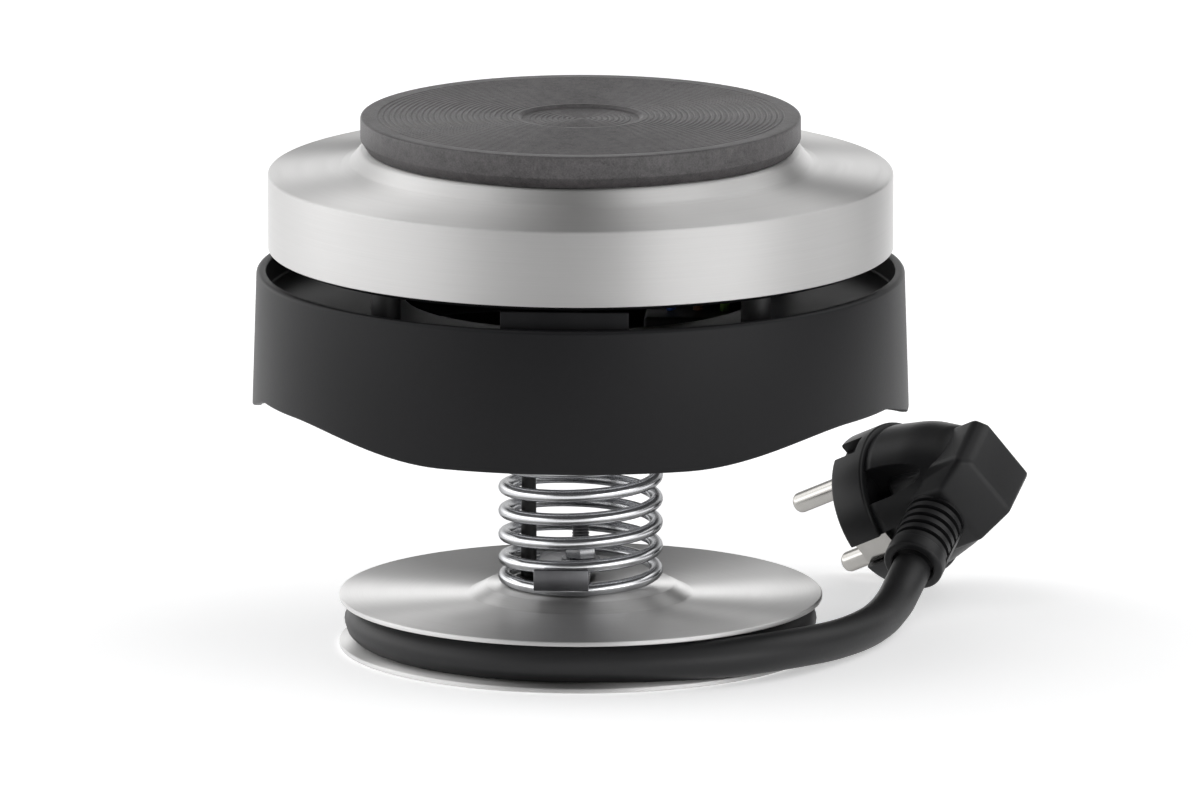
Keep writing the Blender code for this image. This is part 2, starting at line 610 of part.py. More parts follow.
def make_bridge():
    """The strip across the underside that draws the plate down on its seat."""
    z = BRIDGE_Z
    t = 0.0012
    foot = 0.0050
    lift = COVER_TOP_Z - 0.0012 - GAP
    reach = STEP_RADIUS + BRIDGE_REACH
    half = [(reach, lift), (reach, lift - t), (reach - foot + t, lift - t), (reach - foot + t, z),
            (0, z)]
    inner = [(0, z + t), (reach - foot, z + t), (reach - foot, lift)]
    side = half[:-1] + [(-x, y) for x, y in reversed(half[:-1])]
    side += [(-x, y) for x, y in reversed(inner[1:])] + inner[1:]
    place = Matrix(((1, 0, 0, 0), (0, 0, -1, 0), (0, 1, 0, 0), (0, 0, 0, 1)))
    bridge = baked(outline("mounting_bridge", side, BRIDGE_WIDTH, ZINC, place))
    drill(bridge, BOLT_RADIUS + GAP, z - 0.001, z + 0.002)
    stud_top = PLATE_Z + CHANNEL_DEPTH - GAP
    rod("plate_stud", BOLT_RADIUS, SHIELD_Z + SHIELD_THICKNESS + 0.002, stud_top, ZINC, sides=16)
    washer_low = z - GAP - WASHER_THICKNESS
    turned("stud_washer", [(0.0045, z - GAP), (0.0045, washer_low), (BOLT_RADIUS + GAP, washer_low),
                           (BOLT_RADIUS + GAP, z - GAP)], ZINC, SMALL_ROUND)
    nut = rod("stud_nut", NUT_RADIUS, washer_low - GAP - NUT_HEIGHT, washer_low - GAP, ZINC, sides=6)
    drill(nut, BOLT_RADIUS + GAP, washer_low - 0.005, washer_low)


def make_controls():
    """Thermostat and fuse under the bridge, terminal block and lead clamp on the bottom cover."""
    hang = BRIDGE_Z - GAP
    thermostat = turned("thermostat", [
        (0, hang), (0.0072, hang), (0.0078, hang - 0.0008), (0.0078, hang - 0.003),
        (0.0068, hang - 0.003), (0.0068, hang - 0.0062), (0, hang - 0.0062)], CERAMIC, SMALL_ROUND,
        closed=False)
    thermostat.location.x = THERMOSTAT_X
    fuse = rod("thermal_fuse", FUSE_RADIUS, -FUSE_REACH, FUSE_REACH, NICKEL, sides=12)
    fuse.rotation_euler = (math.pi / 2, 0, 0)
    fuse.location = (FUSE_X, 0, hang - FUSE_RADIUS - GAP)
    size = TERMINAL_SIZE
    block("terminal_block", size, (*TERMINAL_AT, INSIDE_Z + size[2] / 2), BLACK, 0.0008)
    at = (LEAD_OFFSET - 0.0118, 0)
    high = INSIDE_Z + 0.006
    clamp = block("lead_clamp", (0.018, 0.0062, 0.006), (*at, INSIDE_Z + 0.003), BLACK, 0.0008)
    drill(clamp, 0.0015, INSIDE_Z - 0.001, high + 0.001, at, 12)
    screw("lead_clamp_screw", at, high + GAP, 0.0028, 0.0016, 0.0012, 0.005, upward=False)
    floor = SHIELD_Z + SHIELD_THICKNESS + GAP
    lug = turned("earth_lug", [(0.0034, floor + 0.0008), (0.0034, floor), (0.0017, floor),
                               (0.0017, floor + 0.0008)], NICKEL, 16)
    lug.location = (*EARTH_AT, 0)
    screw("earth_screw", EARTH_AT, floor + 0.0008 + GAP, 0.0028, 0.0016, 0.0014, 0.0004, upward=False)


def make_leads():
    """Three insulated leads, from the terminal block up through the deck and the shield."""
    start = INSIDE_Z + TERMINAL_SIZE[2] + GAP
    x, y = TERMINAL_AT
    space = SHIELD_Z + SHIELD_THICKNESS + GAP + LEAD_WIRE
    side = BRIDGE_Z - GAP - 0.0046
    level = BRIDGE_Z - FUSE_RADIUS - 2 * GAP
    end_x = THERMOSTAT_X - 0.0068 - GAP
    routes = {
        "live_lead": (BROWN, x, [
            (x - 0.004, y - 0.003, start + 0.006), (0.0095, 0.005, SHIELD_Z - 0.004),
            (0.0095, 0.004, SHIELD_Z + 0.001), (0.013, 0.0015, side), (end_x, 0, side)]),
        "neutral_lead": (BLUE, x - 0.006, [
            (x - 0.010, y - 0.001, start + 0.006), (-0.0055, 0.0075, SHIELD_Z - 0.004),
            (-0.007, 0.0072, SHIELD_Z + 0.001), (-0.014, 0.010, side), (-0.024, 0.0125, level),
            (FUSE_X - 0.0008, 0.0112, level), (FUSE_X, FUSE_REACH + GAP, level)]),
        "earth_lead": (GREEN, x + 0.006, [
            (x + 0.004, y - 0.004, start + 0.007), (0.004, -0.0065, SHIELD_Z - 0.004),
            (0.004, -0.0072, SHIELD_Z + 0.001), (0.005, -0.0100, SHIELD_Z + 0.0048),
            (0.007, -0.0170, space + 0.001), (EARTH_AT[0] - 0.001, EARTH_AT[1] + 0.0052, space)])}
    for name, (material, root, route) in routes.items():
        first = [(root, y, start), (root, y, start + 0.003)]
        tube(name, smooth_route(first + route, 15), LEAD_WIRE, material)


# ---------------------------------------------------------------- cord and plug
def make_cord():
    low = DISC_THICKNESS + GAP
    high = low + CORD_DIAMETER
    half = CORD_DIAMETER / 2
    rim = OUTER_TURN_RADIUS + half
    coil = turned("cord_coil", [(rim, high - 0.002), (rim, low + 0.002), (rim - 0.002, low),
                                (CORE_RADIUS + GAP, low), (CORE_RADIUS + GAP, high), (rim - 0.002, high)],
                  RUBBER)
    inner = OUTER_TURN_RADIUS - half - GAP
    first, last = CORD_LEAVES
    angles = [first + (last - first) * i / 12 for i in range(13)]
    sector = [polar(rim + 0.004, angle) for angle in angles]
    sector += [polar(inner, angle) for angle in reversed(angles)]
    place = Matrix.Translation((0, 0, (low + high) / 2))
    notch = baked(outline("cord_coil_notch", sector, CORD_DIAMETER + 0.002, None, place, cutters))
    combine(coil, notch, "DIFFERENCE")
    tube("cord", smooth_route(CORD_ROUTE, 18), half, RUBBER, resolution=4)


def make_plug():
    """Angled two-pin earthed plug. In its own frame the face is at zero and the body stands behind it."""
    back = -PLUG_PIN_WAY.normalized()
    down = (PLUG_CORD_WAY - PLUG_CORD_WAY.dot(back) * back).normalized()
    across = down.cross(back)
    frame = Matrix((across, down, back)).transposed().to_4x4()
    frame.translation = PLUG_FACE
    disc = PLUG_DISC
    grip = rod("plug_body", PLUG_RADIUS, 0, disc, BLACK, sides=32)
    hood = block("plug_hood", (*GRIP_SIZE, PLUG_DEPTH - disc / 2), (0, 0, (PLUG_DEPTH + disc / 2) / 2), None,
                 0.005, cutters)
    hood.modifiers["edges"].segments = 3
    combine(grip, hood, "UNION")
    moved = [grip, hood]
    for i, way in enumerate((1, -1)):
        reach = PLUG_RADIUS * way
        slot = block(f"plug_slot_{i}", (0.009, 0.006, 0.018), (0, reach, 0.0015), None, home=cutters)
        combine(grip, slot, "DIFFERENCE")
        strip = block(f"plug_earth_{i + 1}", (0.006, 0.0012, 0.0095),
                      (0, reach - 0.0023 * way, 0.0052), NICKEL)
        x = PIN_SPACING / 2 * way
        tip = PIN_RADIUS * 0.7
        pin = turned(f"plug_pin_{i + 1}", [
            (0, -GAP), (PIN_RADIUS, -GAP), (PIN_RADIUS, tip - PIN_LENGTH),
            (PIN_RADIUS * 0.75, tip * 0.3 - PIN_LENGTH), (PIN_RADIUS * 0.35, -PIN_LENGTH), (0, -PIN_LENGTH)],
            NICKEL, 16, closed=False)
        pin.location.x = x
        moved += [slot, strip, pin]
    start = GRIP_SIZE[1] / 2 + GAP
    length = SLEEVE_END - start
    rows = 4
    profile = [(0, length), (SLEEVE_TIP, length), (SLEEVE_TIP, length * 0.86)]
    for i in range(rows):
        share = 0.84 - 0.8 * i / rows
        radius = SLEEVE_ROOT + (SLEEVE_TIP - SLEEVE_ROOT) * share
        profile += [(radius - 0.0009, length * share), (radius - 0.0009, length * (share - 0.06)),
                    (radius, length * (share - 0.07)), (radius, length * (share - 0.15))]
    profile += [(SLEEVE_ROOT, 0), (0, 0)]
    sleeve = turned("plug_sleeve", profile, RUBBER, SMALL_ROUND, closed=False)
    lying = Matrix.Rotation(-math.pi / 2, 4, "X")
    sleeve.matrix_world = Matrix.Translation((0, start, CORD_EXIT_DEPTH)) @ lying
    moved.append(sleeve)
    bpy.context.view_layer.update()
    for shape in moved:
        shape.matrix_world = frame @ shape.matrix_world


def smooth_route(points, count):
    """Evenly spaced points on a smooth curve through the given ones."""
    places = [Vector(point) for point in points]
    places = [2 * places[0] - places[1], *places, 2 * places[-1] - places[-2]]
    dense = []
    for before, here, there, after in zip(places, places[1:], places[2:], places[3:]):
        for i in range(20):
            t = i / 20
            dense.append(0.5 * ((2 * here) + (there - before) * t
                                + (2 * before - 5 * here + 4 * there - after) * t * t
                                + (3 * here - before - 3 * there + after) * t ** 3))
    dense.append(places[-2])
    lengths = [0]
    for here, there in zip(dense, dense[1:]):
        lengths.append(lengths[-1] + (there - here).length)
    even = []
    k = 0
    for i in range(count):
        goal = lengths[-1] * i / (count - 1)
        while k < len(lengths) - 2 and lengths[k + 1] < goal:
            k += 1
        share = (goal - lengths[k]) / (lengths[k + 1] - lengths[k])
        even.append(dense[k].lerp(dense[k + 1], share))
    return even


make_discs()
make_spool_core()
make_lower_clamp()
make_grommet()
make_spring()
make_riser()
make_spring_top()
make_bottom_cover(make_skirt())
make_posts()
make_front_tab()
make_shield()
make_steel_cover()
make_hot_plate()
make_bridge()
make_controls()
make_leads()
make_cord()
make_plug()
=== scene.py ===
import json
import math

import bpy
from mathutils import Matrix, Vector

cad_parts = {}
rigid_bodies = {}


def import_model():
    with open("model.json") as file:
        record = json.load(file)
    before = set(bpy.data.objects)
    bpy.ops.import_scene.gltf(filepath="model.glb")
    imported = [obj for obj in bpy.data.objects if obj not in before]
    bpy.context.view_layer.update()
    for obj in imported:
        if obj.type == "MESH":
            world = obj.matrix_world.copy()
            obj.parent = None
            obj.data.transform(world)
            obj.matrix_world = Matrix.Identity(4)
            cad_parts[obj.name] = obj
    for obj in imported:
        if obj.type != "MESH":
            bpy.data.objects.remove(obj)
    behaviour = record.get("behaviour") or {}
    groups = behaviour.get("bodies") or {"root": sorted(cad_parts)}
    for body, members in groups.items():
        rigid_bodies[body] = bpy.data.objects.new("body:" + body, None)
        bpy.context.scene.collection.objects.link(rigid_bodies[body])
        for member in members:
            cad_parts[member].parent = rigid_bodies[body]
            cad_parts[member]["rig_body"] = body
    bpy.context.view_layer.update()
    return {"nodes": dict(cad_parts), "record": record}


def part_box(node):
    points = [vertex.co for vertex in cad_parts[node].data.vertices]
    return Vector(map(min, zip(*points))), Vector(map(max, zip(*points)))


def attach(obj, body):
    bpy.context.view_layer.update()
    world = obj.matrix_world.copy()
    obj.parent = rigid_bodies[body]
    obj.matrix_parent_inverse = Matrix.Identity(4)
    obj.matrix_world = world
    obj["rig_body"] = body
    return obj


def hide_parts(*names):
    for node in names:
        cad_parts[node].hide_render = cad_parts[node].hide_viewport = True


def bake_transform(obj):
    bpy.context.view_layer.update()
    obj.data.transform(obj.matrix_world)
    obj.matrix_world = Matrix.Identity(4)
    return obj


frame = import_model()


class Wire:                                     # one output of a node, which can take part in sums
    def __init__(self, finish, socket):
        self.finish = finish
        self.socket = socket

    def sums(self, operation, first, second):
        return self.finish.sums(operation, first, second)

    def __add__(self, other):
        return self.sums("ADD", self, other)

    def __radd__(self, other):
        return self.sums("ADD", other, self)

    def __mul__(self, other):
        return self.sums("MULTIPLY", self, other)

    def __rmul__(self, other):
        return self.sums("MULTIPLY", other, self)


class Finish:                                   # a material while its nodes are being laid out
    def __init__(self, owner, end="Principled BSDF", **fixed):
        owner.use_nodes = True
        self.owner = owner
        self.tree = owner.node_tree
        self.end = self.tree.nodes[end]
        for socket, value in fixed.items():
            self.end.inputs[socket.replace("_", " ")].default_value = value

    def node(self, kind, settings, inputs, output=0):
        made = self.tree.nodes.new(kind)
        for key, value in settings.items():
            if key == "stops":
                fillRamp(made.color_ramp, value)
            else:
                setattr(made, key, value)
        for key, value in inputs.items():
            if isinstance(value, Wire):
                self.tree.links.new(value.socket, made.inputs[key])
            else:
                made.inputs[key].default_value = value
        return Wire(self, made.outputs[output])

    def feed(self, socket, wire):
        self.tree.links.new(wire.socket, self.end.inputs[socket])

    def place(self):
        return self.node("ShaderNodeTexCoord", {}, {}, "Object")

    def sums(self, operation, first, second):
        return self.node("ShaderNodeMath", {"operation": operation}, {0: first, 1: second})

    def vector(self, operation, first, second, output=0):
        return self.node("ShaderNodeVectorMath", {"operation": operation}, {0: first, 1: second}, output)

    def noise(self, place, scale, detail=3, roughness=0.5):
        return self.node("ShaderNodeTexNoise", {}, {"Vector": place, "Scale": scale, "Detail": detail,
                                                    "Roughness": roughness})

    def ramp(self, value, stops):
        return self.node("ShaderNodeValToRGB", {"stops": stops}, {0: value})

    def mix(self, share, first, second):
        return self.node("ShaderNodeMix", {"data_type": "RGBA"}, {0: share, 6: first, 7: second}, 2)

    def blend(self, share, first, second):
        return self.mix(share, (*first, 1), (*second, 1))

    def bump(self, height, strength, distance):
        self.feed("Normal", self.node("ShaderNodeBump", {}, {"Height": height, "Strength": strength,
                                                             "Distance": distance}))


def fillRamp(ramp, stops):
    while len(ramp.elements) < len(stops):
        ramp.elements.new(0.5)
    for element, (position, shade) in zip(ramp.elements, stops):
        element.position = position
        element.color = (shade, shade, shade, 1)


def newFinish(name, **fixed):
    return Finish(bpy.data.materials.new(name), **fixed)


brushing = {
    "around": 2.4,                              # low, so that the marks run round the piece
    "fine": 7000,
    "coarse": 900,
    "clouds": 45,
    "depth": 0.00006,
}


def makeBrushedSteel(name, dark, light, roughness):
    finish = newFinish(name, Metallic=1, Anisotropic=0.97, Anisotropic_Rotation=0.25)
    place = finish.place()
    flat = finish.vector("MULTIPLY", place, (1, 1, 0))
    radius = finish.vector("LENGTH", flat, (0, 0, 0), 1)
    around = finish.vector("MULTIPLY", finish.vector("NORMALIZE", flat, (0, 0, 0)), (brushing["around"],) * 3)
    height = finish.node("ShaderNodeSeparateXYZ", {}, {0: place}, 2)
    level = radius + height
    layers = []
    for fineness in (brushing["fine"], brushing["coarse"]):
        lift = finish.node("ShaderNodeCombineXYZ", {}, {2: level * fineness})
        layers.append(finish.noise(finish.vector("ADD", around, lift), 1, 2))
    fine, coarse = layers
    cloudy = finish.noise(place, brushing["clouds"], 2)
    marks = fine * 0.65 + coarse * 0.35
    finish.feed("Base Color", finish.blend(marks * 0.7 + cloudy * 0.3, dark, light))
    finish.feed("Roughness", roughness - 0.09 + marks * 0.16 + cloudy * 0.05)
    finish.bump(marks, 0.12, brushing["depth"])
    return finish.owner


def makePlating(name, dark, light, roughness, scale=260, rim=1.0):
    finish = newFinish(name, Metallic=1, Specular_Tint=(rim, rim, rim, 1))
    place = finish.place()
    spots = finish.noise(place, scale, 4, 0.6)
    film = finish.noise(place, scale * 0.2, 2)
    finish.feed("Base Color", finish.blend(spots * 0.6 + film * 0.4, dark, light))
    finish.feed("Roughness", roughness - 0.05 + spots * 0.07 + film * 0.05)
    finish.bump(spots, 0.05, 0.00005)
    return finish.owner


def makeCastIron():
    finish = newFinish("castIron", Metallic=0.08, Specular_IOR_Level=0.55)
    place = finish.place()
    grain = finish.noise(place, 2600, 4, 0.65)
    patches = finish.noise(place, 70, 4, 0.6)
    mottle = finish.noise(place, 600, 3, 0.6)
    mixed = grain * 0.45 + mottle * 0.3 + patches * 0.25
    finish.feed("Base Color", finish.blend(finish.ramp(mixed, [(0.36, 0), (0.64, 1)]), (0.026, 0.024, 0.0245),
                                           (0.108, 0.101, 0.104)))
    finish.feed("Roughness", 0.36 + grain * 0.20)
    finish.bump(grain * 0.7 + mottle * 0.3, 0.75, 0.00014)
    return finish.owner


def makeMoulded(name, dark, light, roughness, grainScale=2200, grainDepth=0.22, level=0.5):
    finish = newFinish(name, Specular_IOR_Level=level)
    place = finish.place()
    grain = finish.noise(place, grainScale, 3, 0.6)
    patches = finish.noise(place, 38, 4, 0.55)
    dust = finish.noise(place, 900, 2, 0.5)
    finish.feed("Base Color", finish.blend(patches * 0.7 + dust * 0.3, dark, light))
    finish.feed("Roughness", roughness - 0.06 + patches * 0.08 + grain * 0.06)
    finish.bump(grain, grainDepth, 0.00008)
    return finish.owner


def makeFibre():
    finish = newFinish("mineralWool", Roughness=0.95)
    place = finish.place()
    fibres = finish.noise(finish.vector("MULTIPLY", place, (1, 1, 6)), 900, 5, 0.7)
    finish.feed("Base Color", finish.blend(fibres, (0.50, 0.46, 0.36), (0.83, 0.80, 0.72)))
    finish.bump(fibres, 0.8, 0.0004)
    return finish.owner


def makeFloorFinish():
    finish = newFinish("paleFloor", Roughness=0.7, Specular_IOR_Level=0.2, Emission_Strength=0.42)
    clouds = finish.noise(finish.place(), 3, 2)
    finish.feed("Base Color", finish.blend(clouds, (0.925, 0.925, 0.93), (0.945, 0.945, 0.945)))
    finish.feed("Emission Color", finish.blend(clouds, (0.98, 0.98, 0.985), (1, 1, 1)))
    return finish.owner


brushedSteel = makeBrushedSteel("brushedSteel", (0.58, 0.575, 0.57), (0.76, 0.755, 0.75), 0.50)
discSteel = makeBrushedSteel("brushedDiscSteel", (0.56, 0.555, 0.55), (0.78, 0.775, 0.77), 0.42)
zincPlate = makePlating("zincPlate", (0.66, 0.67, 0.69), (0.82, 0.825, 0.84), 0.20, rim=0.35)
dullZinc = makePlating("dullZincPlate", (0.10, 0.10, 0.105), (0.22, 0.22, 0.23), 0.36)
blackenedSheet = makePlating("blackenedSheet", (0.010, 0.010, 0.011), (0.028, 0.028, 0.029), 0.55, 120)
nickelPlate = makePlating("nickelPlate", (0.42, 0.41, 0.39), (0.60, 0.585, 0.56), 0.20, rim=0.35)
darkSheet = makePlating("darkSheetSteel", (0.055, 0.055, 0.058), (0.13, 0.13, 0.135), 0.48, 120)
castIron = makeCastIron()
skirtPlastic = makeMoulded("skirtPlastic", (0.0045, 0.0045, 0.0052), (0.0078, 0.0078, 0.0090), 0.42,
                           level=0.18)
blackPlastic = makeMoulded("blackPlastic", (0.008, 0.008, 0.009), (0.014, 0.014, 0.015), 0.48)
plugPlastic = makeMoulded("plugPlastic", (0.0055, 0.0055, 0.006), (0.011, 0.011, 0.012), 0.42, 1500, 0.15,
                          0.32)
cordRubber = makeMoulded("cordRubber", (0.006, 0.006, 0.0065), (0.013, 0.013, 0.014), 0.46, 1300, 0.30, 0.36)
ceramicBody = makeMoulded("ceramicBody", (0.70, 0.68, 0.62), (0.84, 0.82, 0.77), 0.62)
mineralWool = makeFibre()
brownSleeve = makeMoulded("brownInsulation", (0.16, 0.05, 0.02), (0.24, 0.09, 0.04), 0.45)
blueSleeve = makeMoulded("blueInsulation", (0.03, 0.09, 0.33), (0.05, 0.13, 0.42), 0.45)
greenSleeve = makeMoulded("greenInsulation", (0.16, 0.36, 0.05), (0.24, 0.46, 0.07), 0.45)
print("finishes ready")


overshoot = 0.001                               # how far a cutter reaches past what it cuts


def clearSelection():
    if bpy.context.mode != "OBJECT":
        bpy.ops.object.mode_set(mode="OBJECT")
    bpy.ops.object.select_all(action="DESELECT")


def activate(piece):
    clearSelection()
    piece.select_set(True)
    bpy.context.view_layer.objects.active = piece


def rename(piece, name):
    piece.name = name
    piece.data.name = name


def startPiece(name):
    piece = bpy.context.object
    rename(piece, name)
    return piece


def applyModifier(piece, kind, **settings):
    activate(piece)
    step = piece.modifiers.new(kind.lower(), kind)
    for key, value in settings.items():
        setattr(step, key, value)
    bpy.ops.object.modifier_apply(modifier=step.name)


def bevelEdges(piece, width, segments, angle=30):
    applyModifier(piece, "BEVEL", width=width, segments=segments, limit_method="ANGLE",
                  angle_limit=math.radians(angle))


def shadeSmooth(piece, angle=35):
    activate(piece)
    bpy.ops.object.shade_smooth_by_angle(angle=math.radians(angle))


def combine(piece, tool, operation="DIFFERENCE"):
    applyModifier(piece, "BOOLEAN", operation=operation, object=tool, solver="EXACT")
    bpy.data.objects.remove(tool)


def cleanSurface(piece, distance=0.000001):
    activate(piece)
    bpy.ops.object.mode_set(mode="EDIT")
    bpy.ops.mesh.select_all(action="SELECT")
    bpy.ops.mesh.remove_doubles(threshold=distance)
    bpy.ops.mesh.normals_make_consistent(inside=False)
    bpy.ops.object.mode_set(mode="OBJECT")


def roundCorners(corners, parts=5):
    # each corner is (radius, height) or, to round it, (radius, height, fillet)
    points = []
    for i, corner in enumerate(corners):
        here = Vector(corner[:2])
        if len(corner) < 3:
            points.append(here)
            continue
        size = corner[2]
        back = (Vector(corners[i - 1][:2]) - here).normalized()
        ahead = (Vector(corners[i + 1][:2]) - here).normalized()
        half = back.angle(ahead) / 2
        reach = size / math.tan(half)
        middle = here + (back + ahead).normalized() * size / math.sin(half)
        start = here + back * reach - middle
        end = here + ahead * reach - middle
        points += [middle + start.slerp(end, k / parts).normalized() * size for k in range(parts + 1)]
    return points


def turnPiece(name, profile, steps=160, angle=35):
    # the profile's outline is drawn point by point, then spun about the upright axis
    clearSelection()
    bpy.ops.mesh.primitive_plane_add(size=0.001)
    piece = startPiece(name)
    bpy.ops.object.mode_set(mode="EDIT")
    bpy.ops.mesh.select_mode(type="VERT")
    bpy.ops.mesh.select_all(action="SELECT")
    bpy.ops.mesh.merge(type="CENTER")
    bpy.ops.transform.translate(value=(profile[0][0], 0, profile[0][1]))
    for before, here in zip(profile, profile[1:]):
        step = (here[0] - before[0], 0, here[1] - before[1])
        bpy.ops.mesh.extrude_region_move(TRANSFORM_OT_translate={"value": step})
    bpy.ops.mesh.select_all(action="SELECT")
    bpy.ops.mesh.spin(steps=steps, angle=2 * math.pi, center=(0, 0, 0), axis=(0, 0, 1))
    bpy.ops.object.mode_set(mode="OBJECT")
    cleanSurface(piece)
    shadeSmooth(piece, angle)
    return piece


def addBlock(name, low, high):
    clearSelection()
    bpy.ops.mesh.primitive_cube_add(size=1)
    piece = startPiece(name)
    low = Vector(low)
    high = Vector(high)
    bpy.ops.object.mode_set(mode="EDIT")
    bpy.ops.mesh.select_all(action="SELECT")
    bpy.ops.transform.resize(value=high - low)
    bpy.ops.transform.translate(value=(low + high) / 2)
    bpy.ops.object.mode_set(mode="OBJECT")
    return piece


def addRod(name, radius, low, high, at=(0, 0), sides=32):
    clearSelection()
    bpy.ops.mesh.primitive_cylinder_add(vertices=sides, radius=radius, depth=high - low)
    piece = startPiece(name)
    piece.data.transform(Matrix.Translation((*at, (low + high) / 2)))
    return piece


def tubePiece(name, points, radii, sides=8):
    clearSelection()
    bpy.ops.curve.primitive_nurbs_path_add()
    piece = startPiece(name)
    line = piece.data
    line.splines.clear()
    line.bevel_depth = 1
    line.bevel_resolution = sides // 2 - 2
    line.use_fill_caps = True
    spline = line.splines.new("POLY")
    spline.points.add(len(points) - 1)
    for point, place, radius in zip(spline.points, points, radii):
        point.co = (*place, 1)
        point.radius = radius
    return piece


def toMesh(piece):
    activate(piece)
    bpy.ops.object.convert(target="MESH")
    cleanSurface(piece)
    shadeSmooth(piece)
    return piece


def soften(name, node, width):
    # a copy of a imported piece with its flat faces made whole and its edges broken
    piece = bpy.data.objects.new(name, frame["nodes"][node].data.copy())
    bpy.context.scene.collection.objects.link(piece)
    activate(piece)
    bpy.ops.object.mode_set(mode="EDIT")
    bpy.ops.mesh.select_all(action="SELECT")
    bpy.ops.mesh.remove_doubles(threshold=0.000002)
    bpy.ops.mesh.dissolve_limited(angle_limit=math.radians(1))
    bpy.ops.object.mode_set(mode="OBJECT")
    bevelEdges(piece, width, 2)
    shadeSmooth(piece)
    return piece


def dress(piece, material):
    piece.data.materials.clear()
    piece.data.materials.append(material)
    return piece


def standFor(piece, material, slot, *nodes):
    dress(piece, material)
    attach(piece, frame["nodes"][nodes[0]]["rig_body"])
    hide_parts(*nodes)
    return piece


def drill(piece, name, radius, low, high, at, sides):
    # a round hole from one height to another
    combine(piece, addRod(name, radius, low, high, at, sides))


def cutDriverSlot(piece, low, reach, half, depth):
    # a cross in the face of a screw's head, which points down
    for size in ((reach, half), (half, reach)):
        combine(piece, addBlock("driver_slot", (-size[0], -size[1], low - overshoot),
                                (size[0], size[1], low + depth)))


def boxMiddle(node):
    low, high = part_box(node)
    return (low + high) / 2


def polar(radius, degrees, height=0):
    angle = math.radians(degrees)
    return Vector((radius * math.cos(angle), radius * math.sin(angle), height))


def smoothRoute(points, count):
    # evenly spaced points on a smooth curve through the given ones
    places = [Vector(point) for point in points]
    places = [2 * places[0] - places[1], *places, 2 * places[-1] - places[-2]]
    dense = []
    for before, here, there, after in zip(places, places[1:], places[2:], places[3:]):
        for i in range(20):
            t = i / 20
            dense.append(0.5 * ((2 * here) + (there - before) * t
                                + (2 * before - 5 * here + 4 * there - after) * t * t
                                + (3 * here - before - 3 * there + after) * t ** 3))
    dense.append(places[-2])
    lengths = [0]
    for here, there in zip(dense, dense[1:]):
        lengths.append(lengths[-1] + (there - here).length)
    even = []
    k = 0
    for i in range(count):
        goal = lengths[-1] * i / (count - 1)
        while k < len(lengths) - 2 and lengths[k + 1] < goal:
            k += 1
        share = (goal - lengths[k]) / (lengths[k + 1] - lengths[k])
        even.append(dense[k].lerp(dense[k + 1], share))
    return even


cameraSetup = {
    "azimuth": 3,
    "elevation": 11.5,
    "distance": 6,
    "viewWidth": 0.2727,                        # what the frame takes in at that distance
    "aimRight": 0.0044,
    "aimHeight": 0.0565,
    "sensor": 36,
}


def makeCamera():
    turn = math.radians(cameraSetup["azimuth"])
    tilt = math.radians(cameraSetup["elevation"])
    away = Vector((math.sin(turn) * math.cos(tilt), -math.cos(turn) * math.cos(tilt), math.sin(tilt)))
    right = Vector((math.cos(turn), math.sin(turn), 0))
    clearSelection()
    bpy.ops.object.camera_add()
    camera = bpy.context.object
    camera.location = right * cameraSetup["aimRight"] + Vector((0, 0, cameraSetup["aimHeight"]))
    camera.location += away * cameraSetup["distance"]
    camera.rotation_euler = (math.pi / 2 - tilt, 0, turn)
    camera.data.sensor_width = cameraSetup["sensor"]
    camera.data.lens = cameraSetup["sensor"] * cameraSetup["distance"] / cameraSetup["viewWidth"]
    camera.data.clip_end = 3 * cameraSetup["distance"]
    bpy.context.scene.camera = camera


makeCamera()


cordShape = {
    "diameter": 0.009,
    "turns": 2,
    "perTurn": 40,
    "turnPitch": 0.0093,
    "stepStart": 0.74,                          # share of each turn after which it moves inward
    "entryRadius": 0.0265,                      # the inner end bends in through the mouth of the core
    "entryAngle": 105,
    "entrySteps": 15,
    "freeSteps": 60,
    "sides": 24,
}
cordRoute = [                                   # where it lies free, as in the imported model
    (0.0026, -0.0492, 0.0060), (0.0165, -0.0480, 0.0060), (0.0300, -0.0443, 0.0060),
    (0.0415, -0.0380, 0.0060), (0.0510, -0.0286, 0.0057), (0.0585, -0.0170, 0.0050),
    (0.0643, -0.0040, 0.0046), (0.0680, 0.0085, 0.0047), (0.0706, 0.0196, 0.0060),
    (0.0722, 0.0262, 0.0082), (0.0741, 0.0324, 0.0114)]


def makeCord():
    start = Vector(cordRoute[0])
    outer = start.xy.length
    first = math.degrees(math.atan2(start.y, start.x))
    steps = cordShape["turns"] * cordShape["perTurn"]
    winding = []
    entryCentre = outer - cordShape["turnPitch"] * cordShape["turns"] - cordShape["entryRadius"]
    for i in range(cordShape["entrySteps"]):
        back = cordShape["entryAngle"] * (1 - i / cordShape["entrySteps"])
        winding.append(polar(entryCentre, first, start.z) + polar(cordShape["entryRadius"], first - back))
    for i in range(steps):
        turn = (steps - i) / cordShape["perTurn"]
        share = max(turn % 1 - cordShape["stepStart"], 0) / (1 - cordShape["stepStart"])
        inward = int(turn) + share * share * (3 - 2 * share)
        winding.append(polar(outer - cordShape["turnPitch"] * inward, first - 360 * turn, start.z))
    points = winding + smoothRoute(cordRoute, cordShape["freeSteps"])
    radius = cordShape["diameter"] / 2
    cord = tubePiece("mains_cord", points, [radius] * len(points), cordShape["sides"])
    dress(cord, cordRubber)
    for spline in cord.data.splines:
        spline.use_smooth = True
    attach(cord, "base")
    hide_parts("cord", "cord_coil")
    length = sum((there - here).length for here, there in zip(points, points[1:]))
    print(f"cord {length:.3f} m")
    return cord, points[0], length


cord, cordStart, cordLength = makeCord()


